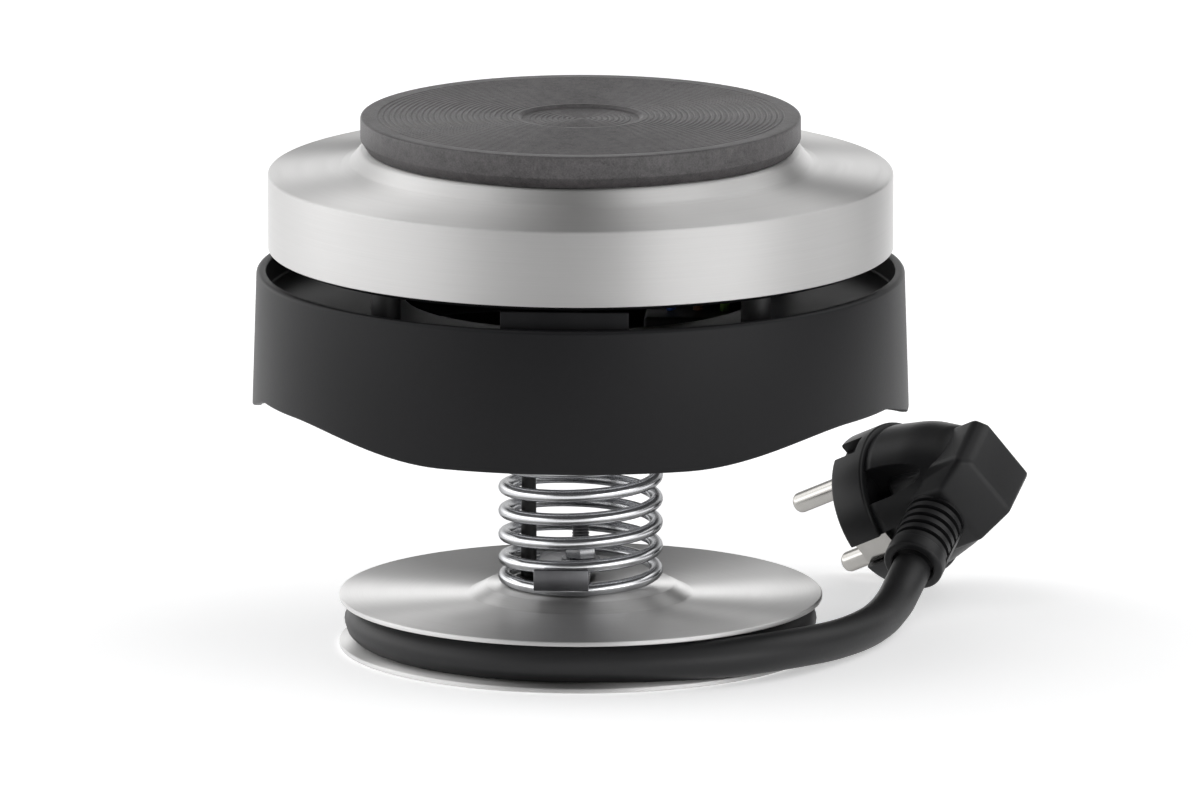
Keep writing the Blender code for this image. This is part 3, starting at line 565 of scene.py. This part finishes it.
hotPlate = {
    "edge": 0.0005,
    "chamfer": 0.0016,
    "recess": 0.0142,
    "recessDepth": 0.0006,
    "recessSlope": 0.0008,                      # its side leans in by this much
    "bend": 0.0004,
    "groovePitch": 0.00127,
    "grooveWidth": 0.00066,
    "grooveDepth": 0.00024,
    "channel": 0.0435,
    "channelDepth": 0.0038,
}


def grooves(first, last, level):
    points = []
    count = int((last - first) / hotPlate["groovePitch"])
    half = hotPlate["grooveWidth"] / 2
    for i in range(count + 1):
        radius = first + i * hotPlate["groovePitch"]
        points += [(radius - half, level), (radius - half * 0.35, level - hotPlate["grooveDepth"]),
                   (radius + half * 0.35, level - hotPlate["grooveDepth"]), (radius + half, level)]
    return points


def makeHotPlate():
    low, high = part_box("hot_plate")
    radius = high.x
    top = high.z
    floor = top - hotPlate["recessDepth"]
    recess = hotPlate["recess"]
    pitch = hotPlate["groovePitch"]
    chamfer = hotPlate["chamfer"]
    channel = hotPlate["channel"]
    inside = low.z + hotPlate["channelDepth"]
    profile = [(0, floor)] + grooves(pitch, recess - 1.6 * pitch, floor)
    bend = hotPlate["bend"]
    profile += roundCorners([(recess - 0.0014, floor), (recess - hotPlate["recessSlope"], floor, bend),
                             (recess, top, bend), (recess + bend, top)], 4)
    profile += grooves(recess + pitch, radius - 2.2 * pitch, top)
    profile += roundCorners([(radius - 0.0015, top), (radius, top, hotPlate["edge"]),
                             (radius, low.z + chamfer * 1.5, 0.0006), (radius - chamfer, low.z, bend),
                             (channel + bend, low.z)], 4)
    profile += [(channel, low.z + bend), (channel, inside), (0, inside)]
    plate = turnPiece("ribbed_hot_plate", profile, 192, 28)
    standFor(plate, castIron, "cast_iron", "hot_plate")


makeHotPlate()
print("hot plate ready")


steelCover = {
    "wall": 0.0008,
    "edge": 0.0006,
    "step": 0.0536,                             # where the slope down from the seat meets the ring
    "stepLift": 0.0020,
    "seatRun": 0.0034,
    "bend": 0.0012,
    "footBend": 0.0008,
    "innerBend": 0.0010,
    "opening": 0.0447,
    "band": 0.0174,
    "hem": 0.0003,
}


def makeSteelCover():
    low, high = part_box("steel_cover")
    radius = high.x
    seat = high.z
    wall = steelCover["wall"]
    corner = low.z + steelCover["band"]
    step = steelCover["step"]
    lift = corner + steelCover["stepLift"]
    hem = steelCover["hem"]
    bend = steelCover["bend"]
    footBend = steelCover["footBend"]
    innerBend = steelCover["innerBend"]
    profile = roundCorners([
        (steelCover["opening"], seat), (step - steelCover["seatRun"], seat, bend),
        (step - 0.0012, lift + 0.0004, bend), (step + 0.0006, lift - 0.0001, footBend),
        (radius, corner, steelCover["edge"]), (radius, low.z, hem), (radius - wall, low.z, hem),
        (radius - wall, corner - wall, 0.0004), (step, lift - wall, footBend),
        (step - 0.0020, lift - 0.0003, innerBend), (step - 0.0040, seat - wall, innerBend),
        (steelCover["opening"], seat - wall)], 6)
    cover = turnPiece("brushed_cover", profile + profile[:1], 192, 30)
    standFor(cover, brushedSteel, "steel", "steel_cover")


makeSteelCover()
print("steel cover ready")


skirtShape = {
    "bottomRadius": 0.0746,
    "topRadius": 0.0736,
    "wall": 0.0022,
    "arch": 0.0055,
    "sideLip": 0.13,
    "edge": 0.0009,
    "deckBelow": 0.0060,                        # the deck's top under the skirt's own
    "deck": 0.002,
    "deckLedge": 0.004,
    "coverGap": 0.0003,
    "opening": 0.040,
    "pillar": 0.0032,
    "pillarCircle": 0.062,
    "pilot": 0.0017,
    "pilotDepth": 0.010,
}


def pillarPlaces():
    return [polar(skirtShape["pillarCircle"], 90 + 120 * i).xy for i in range(3)]


def archRise(angle):
    # the lower edge is lowest at the front and the back, with a small lip at each side
    off = math.degrees(angle) % 180
    side = 90 - min(off, 180 - off)
    climb = min(max((side - 22) / 36, 0), 1)
    fall = min(max((88 - side) / 16, 0), 1)
    lip = skirtShape["sideLip"]
    return skirtShape["arch"] * climb * climb * (3 - 2 * climb) * (lip + (1 - lip) * fall)


def makeSkirt():
    low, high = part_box("skirt")
    bottom = low.z
    top = high.z
    wall = skirtShape["wall"]
    edge = skirtShape["edge"]
    ledge = skirtShape["deckLedge"]
    deckTop = top - skirtShape["deckBelow"]
    deckLow = deckTop - skirtShape["deck"]
    slope = (skirtShape["topRadius"] - skirtShape["bottomRadius"]) / (top - bottom)

    def outer(height):
        return skirtShape["bottomRadius"] + slope * (height - bottom)

    profile = roundCorners([
        (outer(deckTop) - wall - ledge, deckTop), (outer(deckTop) - wall, deckTop, 0.0006),
        (outer(top) - wall, top, 0.0005), (outer(top), top, edge), (outer(bottom), bottom, 0.0006),
        (outer(bottom) - wall, bottom, 0.0005), (outer(deckLow) - wall, deckLow, 0.0010),
        (skirtShape["opening"], deckLow, 0.0004), (skirtShape["opening"], deckTop, 0.0005),
        (outer(deckTop) - wall - ledge, deckTop)], 4)
    skirt = turnPiece("skirt_moulding", profile, 192, 30)
    for vertex in skirt.data.vertices:
        if vertex.co.z < bottom + 0.0008:
            vertex.co.z += archRise(math.atan2(vertex.co.y, vertex.co.x))
    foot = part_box("bottom_cover")[1].z + skirtShape["coverGap"]
    for at in pillarPlaces():
        combine(skirt, addRod("pillar", skirtShape["pillar"], foot, deckLow + overshoot, at), "UNION")
        drill(skirt, "pilot", skirtShape["pilot"], foot - overshoot, foot + skirtShape["pilotDepth"], at, 20)
    shadeSmooth(skirt, 30)
    standFor(skirt, skirtPlastic, "skirt_plastic", "skirt")


makeSkirt()
print("skirt ready")


discShape = {
    "sheet": 0.0012,
    "edge": 0.00035,
    "bossFoot": 0.0255,
    "bossTop": 0.0215,
    "dimpleFoot": 0.0125,
    "dimpleTop": 0.0095,
    "dimple": 0.0026,
    "bend": 0.0012,
    "boltHole": 0.0023,
    "leadHole": 0.0031,
}


def pressedDisc(name, node, foot, crown, rise):
    low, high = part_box(node)
    sheet = discShape["sheet"]
    edge = discShape["edge"]
    radius = high.x
    hole = discShape["boltHole"]
    base = low.z
    bend = discShape["bend"]
    profile = roundCorners([
        (hole, base + rise + sheet), (crown, base + rise + sheet, bend), (foot, base + sheet, bend),
        (radius, base + sheet, edge), (radius, base, edge), (foot + sheet * 0.4, base, bend),
        (crown + sheet * 0.2, base + rise, bend), (hole, base + rise)], 5)
    return turnPiece(name, profile + profile[:1], 160, 30)


def makeDiscs():
    lower = pressedDisc("spool_disc_lower", "lower_disc", discShape["dimpleFoot"], discShape["dimpleTop"],
                        discShape["dimple"])
    standFor(lower, discSteel, "steel", "lower_disc")
    low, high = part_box("upper_disc")
    rise = high.z - low.z - discShape["sheet"]
    upper = pressedDisc("spool_disc_upper", "upper_disc", discShape["bossFoot"], discShape["bossTop"], rise)
    at = boxMiddle("lead_grommet").xy
    drill(upper, "lead_hole", discShape["leadHole"], low.z - overshoot, high.z + overshoot, at, 40)
    shadeSmooth(upper, 30)
    standFor(upper, discSteel, "steel", "upper_disc")


makeDiscs()
print("discs ready")


springShape = {
    "wire": 0.0015,
    "meanRadius": 0.01725,
    "turns": 8.4,
    "flatTurns": 0.4,
    "firstAngle": 126,
    "perTurn": 56,
    "sides": 16,
}


def makeSpring():
    low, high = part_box("spring")
    wire = springShape["wire"]
    bottom = low.z + wire
    rise = high.z - low.z - 2 * wire
    turns = springShape["turns"]
    flat = springShape["flatTurns"]
    count = round(turns * springShape["perTurn"])
    points = []
    for i in range(count + 1):
        turn = turns * i / count
        share = min(max((turn - flat) / (turns - 2 * flat), 0), 1)
        points.append(polar(springShape["meanRadius"], springShape["firstAngle"] + 360 * turn,
                            bottom + rise * share))
    spring = toMesh(tubePiece("coil_spring", points, [wire] * len(points), springShape["sides"]))
    dress(spring, zincPlate)
    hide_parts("spring")
    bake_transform(spring)


riserShape = {
    "footRadius": 0.0019,
    "taper": 0.0005,
    "steps": 24,
}


def makeRiser():
    low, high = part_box("riser_lead")
    middle = boxMiddle("riser_lead")
    points = []
    radii = []
    for i in range(riserShape["steps"] + 1):
        share = i / riserShape["steps"]
        points.append(Vector((middle.x, middle.y, low.z + (high.z - low.z) * share)))
        radii.append(riserShape["footRadius"] - riserShape["taper"] * share)
    riser = toMesh(tubePiece("riser_sleeve", points, radii, 20))
    dress(riser, cordRubber)
    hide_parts("riser_lead")
    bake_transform(riser)


makeSpring()
makeRiser()
print("spring ready")


boltShape = {
    "radius": 0.002,
    "threadPitch": 0.0007,
    "threadDepth": 0.00028,
    "threaded": 0.0065,
    "headHeight": 0.002,
    "headEdge": 0.0003,
    "crown": 0.0009,
    "slotReach": 0.0030,
    "slotHalf": 0.00045,
    "slotDepth": 0.0011,
}


def threadedProfile(low, high, radius):
    points = []
    pitch = boltShape["threadPitch"]
    count = int((high - low) / pitch)
    for i in range(count):
        level = high - pitch * (i + 0.5)
        points += [(radius, level + pitch * 0.42), (radius - boltShape["threadDepth"], level),
                   (radius, level - pitch * 0.42)]
    return points


def makeBaseBolt():
    low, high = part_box("base_bolt")
    radius = boltShape["radius"]
    head = high.x
    seat = low.z + boltShape["headHeight"]
    edge = boltShape["headEdge"]
    profile = [(0, high.z), (radius * 0.72, high.z)]
    profile += threadedProfile(high.z - boltShape["threaded"], high.z - 0.0002, radius)
    profile += [(radius, seat), (head - edge, seat), (head, seat - edge),
                (head, low.z + boltShape["crown"]), (head * 0.82, low.z), (0, low.z)]
    bolt = turnPiece("spool_bolt", profile, 40, 30)
    cutDriverSlot(bolt, low.z, boltShape["slotReach"], boltShape["slotHalf"], boltShape["slotDepth"])
    shadeSmooth(bolt, 30)
    standFor(bolt, dullZinc, "zinc", "base_bolt")


def makeSoftened():
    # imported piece: (new name, edge radius, finish, slot)
    pieces = {
        "lower_spring_clamp": ("spring_clamp_lower", 0.00025, dullZinc, "zinc"),
        "upper_spring_clamp": ("spring_clamp_upper", 0.00015, zincPlate, "zinc"),
        "base_bolt_nut": ("spool_nut", 0.00025, zincPlate, "zinc"),
        "head_bolt_nut": ("head_nut", 0.00025, zincPlate, "zinc"),
        "stud_nut": ("plate_nut", 0.00025, zincPlate, "zinc"),
        "front_tab": ("front_gap_tab", 0.0003, blackenedSheet, "dark_sheet"),
        "mounting_bridge": ("bridge_strip", 0.0003, zincPlate, "zinc"),
        "terminal_block": ("terminal_body", 0.0003, blackPlastic, "black_plastic"),
        "lead_clamp": ("cord_grip", 0.0003, blackPlastic, "black_plastic"),
    }
    for node, (name, width, material, slot) in pieces.items():
        standFor(soften(name, node, width), material, slot, node)


postShape = {
    "bore": 0.0019,
    "roof": 0.002,
    "topRound": 0.0005,
    "footRound": 0.0004,
}


def makePosts():
    for i in range(4):
        node = f"spacer_post_{i + 1}"
        low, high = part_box(node)
        middle = boxMiddle(node)
        radius = (high.x - low.x) / 2
        bore = postShape["bore"]
        roof = high.z - postShape["roof"]
        profile = roundCorners([
            (0, high.z), (radius, high.z, postShape["topRound"]), (radius, low.z, postShape["footRound"]),
            (bore, low.z), (bore, roof), (0, roof)], 4)
        post = turnPiece(f"post_{i + 1}", profile, 48, 30)
        post.data.transform(Matrix.Translation((middle.x, middle.y, 0)))
        standFor(post, blackPlastic, "black_plastic", node)


undersideShape = {
    "boltHole": 0.0023,
    "leadHole": 0.0027,
    "screwHole": 0.0017,
    "edge": 0.0003,
}


def makeUnderside():
    low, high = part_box("bottom_cover")
    hole = undersideShape["boltHole"]
    edge = undersideShape["edge"]
    rim = roundCorners([(hole, high.z), (high.x, high.z, edge), (high.x, low.z, edge), (hole, low.z)], 3)
    cover = turnPiece("underside_cover", rim + rim[:1], 144, 30)
    start = low.z - overshoot
    end = high.z + overshoot
    drill(cover, "lead_hole", undersideShape["leadHole"], start, end, boxMiddle("riser_lead").xy, 32)
    for at in pillarPlaces():
        drill(cover, "screw_hole", undersideShape["screwHole"], start, end, at, 20)
    shadeSmooth(cover, 30)
    standFor(cover, darkSheet, "dark_sheet", "bottom_cover")


shieldShape = {
    "wall": 0.0008,
    "opening": 0.012,
    "bend": 0.0012,
    "innerBend": 0.0006,
    "edge": 0.0002,
}


def makeShield():
    low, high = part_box("heat_shield")
    wall = shieldShape["wall"]
    opening = shieldShape["opening"]
    edge = shieldShape["edge"]
    dish = roundCorners([
        (opening, low.z + wall), (high.x - wall, low.z + wall, shieldShape["innerBend"]),
        (high.x - wall, high.z, edge), (high.x, high.z, edge), (high.x, low.z, shieldShape["bend"]),
        (opening, low.z)], 4)
    shield = turnPiece("shield_dish", dish + dish[:1], 144, 30)
    standFor(shield, blackenedSheet, "dark_sheet", "heat_shield")


capScrew = {
    "shank": 0.0013,
    "tipRadius": 0.0008,
    "tip": 0.0006,
    "headHeight": 0.0016,
    "headEdge": 0.0003,
    "crown": 0.0009,
    "slotReach": 0.0016,
    "slotHalf": 0.0003,
    "slotDepth": 0.0009,
}


def makeCapScrews():
    shank = capScrew["shank"]
    for i in range(3):
        node = f"bottom_screw_{i + 1}"
        low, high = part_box(node)
        middle = boxMiddle(node)
        head = (high.x - low.x) / 2
        seat = low.z + capScrew["headHeight"]
        profile = roundCorners([
            (0, high.z), (capScrew["tipRadius"], high.z), (shank, high.z - capScrew["tip"]), (shank, seat),
            (head, seat, capScrew["headEdge"]), (head, low.z, capScrew["crown"]), (0, low.z)], 4)
        cap = turnPiece(f"cover_screw_{i + 1}", profile, 40, 30)
        cutDriverSlot(cap, low.z, capScrew["slotReach"], capScrew["slotHalf"], capScrew["slotDepth"])
        cap.data.transform(Matrix.Translation((middle.x, middle.y, 0)))
        shadeSmooth(cap, 30)
        standFor(cap, zincPlate, "zinc", node)


makeBaseBolt()
makeSoftened()
makeUnderside()
makeShield()
makeCapScrews()
makePosts()
print("fasteners ready")


plugShape = {
    "face": Vector((0.0659, 0.0694, 0.0175)),
    "pinWay": Vector((-0.767, 0.488, -0.414)),
    "cordWay": Vector((-0.277, -0.837, -0.476)),
    "radius": 0.0182,
    "rim": 0.0092,
    "gripLow": -0.0088,
    "gripHigh": 0.0100,
    "gripTop": -0.0058,
    "gripBend": 0.0080,
    "gripFront": 0.012,
    "gripEdge": 0.0011,
    "gripOverlap": 0.0035,                      # how far the grip reaches over the sleeve
    "shoulder": 0.0030,
    "chamfer": (0.0027, 0.0021),
    "depth": 0.0360,
    "exitDepth": 0.022,
    "sleeveStart": 0.0108,
    "sleeveEnd": 0.031,
    "sleeveRadius": 0.0066,
    "dome": ((0.0150, 0.0205, 0.02), (0.0110, 0.0285, 0.006), (0, 0.0315)),
    "domeWaist": (0.0168, 0.0170),
    "faceEdge": 0.0008,
    "rimEdge": 0.0006,
    "rimBack": 0.0160,
    "hollow": (0.0075, 0.0042, 0.0165),
    "hollowRadius": 0.0180,
    "hollowAngle": 41,
    "earthNotch": (0.0032, 0.0035, 0.0150),
    "guideNotch": (0.0026, 0.0028, 0.0066),
}


def plugFrame():
    back = -plugShape["pinWay"].normalized()
    down = (plugShape["cordWay"] - plugShape["cordWay"].dot(back) * back).normalized()
    across = down.cross(back)
    place = Matrix((across, down, back)).transposed().to_4x4()
    place.translation = plugShape["face"]
    return place


def makePlugGrip():
    low = plugShape["gripLow"]
    high = plugShape["gripHigh"]
    front = plugShape["gripFront"]
    depth = plugShape["depth"]
    bend = plugShape["gripBend"]
    grip = addBlock("grip", (low, plugShape["gripTop"], front), (high, bend, depth))
    bpy.ops.object.mode_set(mode="EDIT")
    bpy.ops.mesh.select_mode(type="FACE")
    bpy.ops.mesh.select_all(action="DESELECT")
    bpy.ops.object.mode_set(mode="OBJECT")
    for face in grip.data.polygons:
        face.select = face.normal.y > 0.9
    bpy.ops.object.mode_set(mode="EDIT")
    run = plugShape["sleeveStart"] + plugShape["gripOverlap"] - bend
    middle = ((low + high) / 2, bend + run, (front + depth) / 2)
    bpy.ops.mesh.extrude_region_move(TRANSFORM_OT_translate={"value": (0, run, 0)})
    width = 2 * plugShape["sleeveRadius"]
    spare = plugShape["shoulder"]
    bpy.ops.transform.resize(value=((width + spare) / (high - low), 1, width / (depth - front)),
                             center_override=middle)
    bpy.ops.transform.translate(value=(-middle[0] - spare / 2, 0, plugShape["exitDepth"] - middle[2]))
    bpy.ops.object.mode_set(mode="OBJECT")
    across, deep = plugShape["chamfer"]
    lean = math.atan2(deep, across)
    cutter = addBlock("chamfer", (-0.02, -0.02, 0), (0.02, 0.03, 0.02))
    cutter.data.transform(Matrix.Translation((high - across, 0, depth)) @ Matrix.Rotation(lean, 4, "Y"))
    combine(grip, cutter)
    bevelEdges(grip, plugShape["gripEdge"], 3, 20)
    return grip


def cutNotch(dome, name, size, at):
    across, deep, end = size
    notch = addBlock(name, (-across, -deep, -0.002), (across, deep, end))
    notch.data.transform(Matrix.Translation(at))
    combine(dome, notch)


def makePlugBody():
    radius = plugShape["radius"]
    rim = plugShape["rim"]
    foot, waist = plugShape["domeWaist"]
    dome = turnPiece("dome", roundCorners([(0, rim - 0.003), (foot, rim - 0.003), (waist, rim + 0.002, 0.002),
                                           *plugShape["dome"]], 8), 96)
    clearSelection()
    bpy.ops.mesh.primitive_uv_sphere_add(segments=40, ring_count=24, radius=1)
    hollow = startPiece("hollow")
    where = polar(plugShape["hollowRadius"], plugShape["hollowAngle"], rim + 0.0006)
    hollow.data.transform(Matrix.Translation(where)
                          @ Matrix.Rotation(math.radians(plugShape["hollowAngle"]), 4, "Z")
                          @ Matrix.Diagonal((*plugShape["hollow"], 1)))
    combine(dome, hollow)
    combine(dome, makePlugGrip(), "UNION")
    back = plugShape["rimBack"]
    face = turnPiece("rim", roundCorners([
        (0, 0), (radius, 0, plugShape["faceEdge"]), (radius, rim, plugShape["rimEdge"]),
        (back, rim, 0.0003), (back, rim - overshoot), (0, rim - overshoot)], 5), 96)
    combine(dome, face, "UNION")
    for way in (1, -1):
        cutNotch(dome, "earth_notch", plugShape["earthNotch"], (0, way * radius, 0))
        cutNotch(dome, "guide_notch", plugShape["guideNotch"], (way * radius, 0, 0))
    cleanSurface(dome, 0.00001)
    rename(dome, "plug_moulding")
    dome.data.transform(plugFrame())
    shadeSmooth(dome, 32)
    return standFor(dome, plugPlastic, "plug_plastic", "plug_body")


sleeveShape = {
    "flare": 0.0004,
    "rows": 5,
    "rowStart": 0.22,                           # shares of the sleeve's length
    "rowPitch": 0.125,
    "collarStart": 0.82,
    "groove": 0.0010,
    "mouth": (0.0049, 0.0046),
    "mouthDepth": 0.003,
    "barHalf": 0.0009,
    "barSpan": (0.12, 0.80),
    "barAngles": (45, 225),
}


def makePlugSleeve():
    tip = plugShape["sleeveRadius"]
    root = tip + sleeveShape["flare"]
    length = plugShape["sleeveEnd"] - plugShape["sleeveStart"]
    groove = sleeveShape["groove"]
    profile = [(0, 0), (root, 0)]
    for i in range(sleeveShape["rows"]):
        middle = length * (sleeveShape["rowStart"] + sleeveShape["rowPitch"] * i)
        radius = root + (tip - root) * middle / length
        profile += [(radius, middle - groove * 0.6), (radius - groove, middle - groove * 0.5),
                    (radius - groove, middle + groove * 0.5), (radius, middle + groove * 0.6)]
    collar = sleeveShape["collarStart"]
    outer, inner = sleeveShape["mouth"]
    floor = length - sleeveShape["mouthDepth"]
    profile += roundCorners([
        (tip, length * collar), (root, length * (collar + 0.02), 0.0002), (root, length, 0.0007),
        (outer, length, 0.0005), (inner, floor)], 4)
    profile += [(0, floor)]
    sleeve = turnPiece("sleeve", profile, 72, 30)
    half = sleeveShape["barHalf"]
    first, last = sleeveShape["barSpan"]
    for angle in sleeveShape["barAngles"]:
        bar = addBlock("bar", (tip - 0.0016, -half, length * first), (root - 0.0001, half, length * last))
        bar.data.transform(Matrix.Rotation(math.radians(angle), 4, "Z"))
        combine(sleeve, bar, "UNION")
    rename(sleeve, "strain_relief")
    stand = Matrix.Translation((0, plugShape["sleeveStart"], plugShape["exitDepth"]))
    sleeve.data.transform(plugFrame() @ stand @ Matrix.Rotation(-math.pi / 2, 4, "X"))
    shadeSmooth(sleeve, 30)
    return standFor(sleeve, plugPlastic, "rubber", "plug_sleeve")


pinShape = {
    "radius": 0.0024,
    "length": 0.019,
    "sunk": 0.0003,
    "tipRound": 0.0015,
    "off": 0.0095,
    "stripEdge": 0.0002,
}


def makePlugMetal():
    made = []
    radius = pinShape["radius"]
    sunk = -pinShape["sunk"]
    tip = -pinShape["length"]
    for i, way in enumerate((1, -1)):
        profile = roundCorners([(0, sunk), (radius, sunk), (radius, tip, pinShape["tipRound"]), (0, tip)], 8)
        pin = turnPiece(f"contact_pin_{i + 1}", profile, 48, 40)
        pin.data.transform(plugFrame() @ Matrix.Translation((pinShape["off"] * way, 0, 0)))
        made.append(standFor(pin, nickelPlate, "nickel", f"plug_pin_{i + 1}"))
        strip = soften(f"earth_strip_{i + 1}", f"plug_earth_{i + 1}", pinShape["stripEdge"])
        made.append(standFor(strip, nickelPlate, "nickel", f"plug_earth_{i + 1}"))
    return made


plugPieces = [makePlugBody(), makePlugSleeve(), *makePlugMetal()]
print("plug ready")


def dressKept():
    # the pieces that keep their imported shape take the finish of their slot
    finishes = {
        "zinc": zincPlate, "steel": brushedSteel, "cast_iron": castIron, "skirt_plastic": skirtPlastic,
        "black_plastic": blackPlastic, "plug_plastic": plugPlastic, "rubber": cordRubber,
        "nickel": nickelPlate, "dark_sheet": darkSheet, "ceramic": ceramicBody, "mineral_wool": mineralWool,
        "brown_insulation": brownSleeve, "blue_insulation": blueSleeve, "green_insulation": greenSleeve,
    }
    slots = {part["node"]: part["material_slot"] for part in frame["record"]["subparts"]}
    for name, node in frame["nodes"].items():
        dress(node, finishes[slots[name]])


dressKept()
print("kept pieces dressed")


studio = {
    "floorSize": 8,
    "floorDrop": 0.0001,
    "lampSize": 0.7,
    "lampEnergy": 1.8,
    "lamps": {"left_light": (-0.85, 0.5, 0.80), "right_light": (0.85, 0.5, 0.80)},
}


def makeFloor():
    clearSelection()
    bpy.ops.mesh.primitive_grid_add(x_subdivisions=8, y_subdivisions=8, size=studio["floorSize"])
    floor = startPiece("floor")
    dress(floor, makeFloorFinish())
    floor.data.transform(Matrix.Translation((0, 0, -studio["floorDrop"])))


def makeLight(name, place, size, energy):
    clearSelection()
    bpy.ops.object.light_add(type="AREA", location=place)
    lamp = bpy.context.object
    lamp.name = name
    lamp.data.size = size
    lamp.data.energy = energy
    lamp.rotation_euler = Vector(place).to_track_quat("Z", "Y").to_euler()


surroundings = {                                # brightness by compass angle round from the front
    "nearHorizon": [
        (-180, 0.62), (-168, 0.62), (-155, 0.60), (-130, 0.72), (-100, 0.88), (-70, 0.88), (-50, 0.62),
        (-35, 0.25), (-15, 0.14), (0, 0.16), (18, 0.40), (30, 1.25), (66, 1.25), (78, 0.62), (93, 0.14),
        (111, 0.04), (134, 0.06), (155, 0.36), (168, 0.60), (180, 0.62)],
    "higherUp": [
        (-180, 0.02), (-160, 0.06), (-130, 0.14), (-100, 0.42), (-60, 0.42), (-30, 0.10), (0, 0.04),
        (25, 0.10), (50, 0.34), (80, 0.34), (130, 0.14), (160, 0.06), (180, 0.02)],
    "climb": [(0.17, 0), (0.36, 1)],            # heights over which the first gives way to the second
    "strength": 2.9,
}


def makeSurroundings():
    world = bpy.data.worlds.new("studio")
    bpy.context.scene.world = world
    finish = Finish(world, "Background", Strength=surroundings["strength"])
    way = finish.node("ShaderNodeTexCoord", {}, {}, "Generated")
    east = finish.node("ShaderNodeSeparateXYZ", {}, {0: way}, 0)
    north = finish.node("ShaderNodeSeparateXYZ", {}, {0: way}, 1)
    up = finish.node("ShaderNodeSeparateXYZ", {}, {0: way}, 2)
    turn = finish.sums("ARCTAN2", east, north * -1.0) * (0.5 / math.pi) + 0.5
    rings = []
    for height in ("nearHorizon", "higherUp"):
        stops = [(0.5 + angle / 360, level) for angle, level in surroundings[height]]
        rings.append(finish.ramp(turn, stops))
    finish.feed("Color", finish.mix(finish.ramp(up, surroundings["climb"]), *rings))


def makeStudio():
    makeFloor()
    for name, place in studio["lamps"].items():
        makeLight(name, place, studio["lampSize"], studio["lampEnergy"])
    makeSurroundings()
    bpy.context.scene.view_settings.view_transform = "Standard"


makeStudio()
print("studio ready")
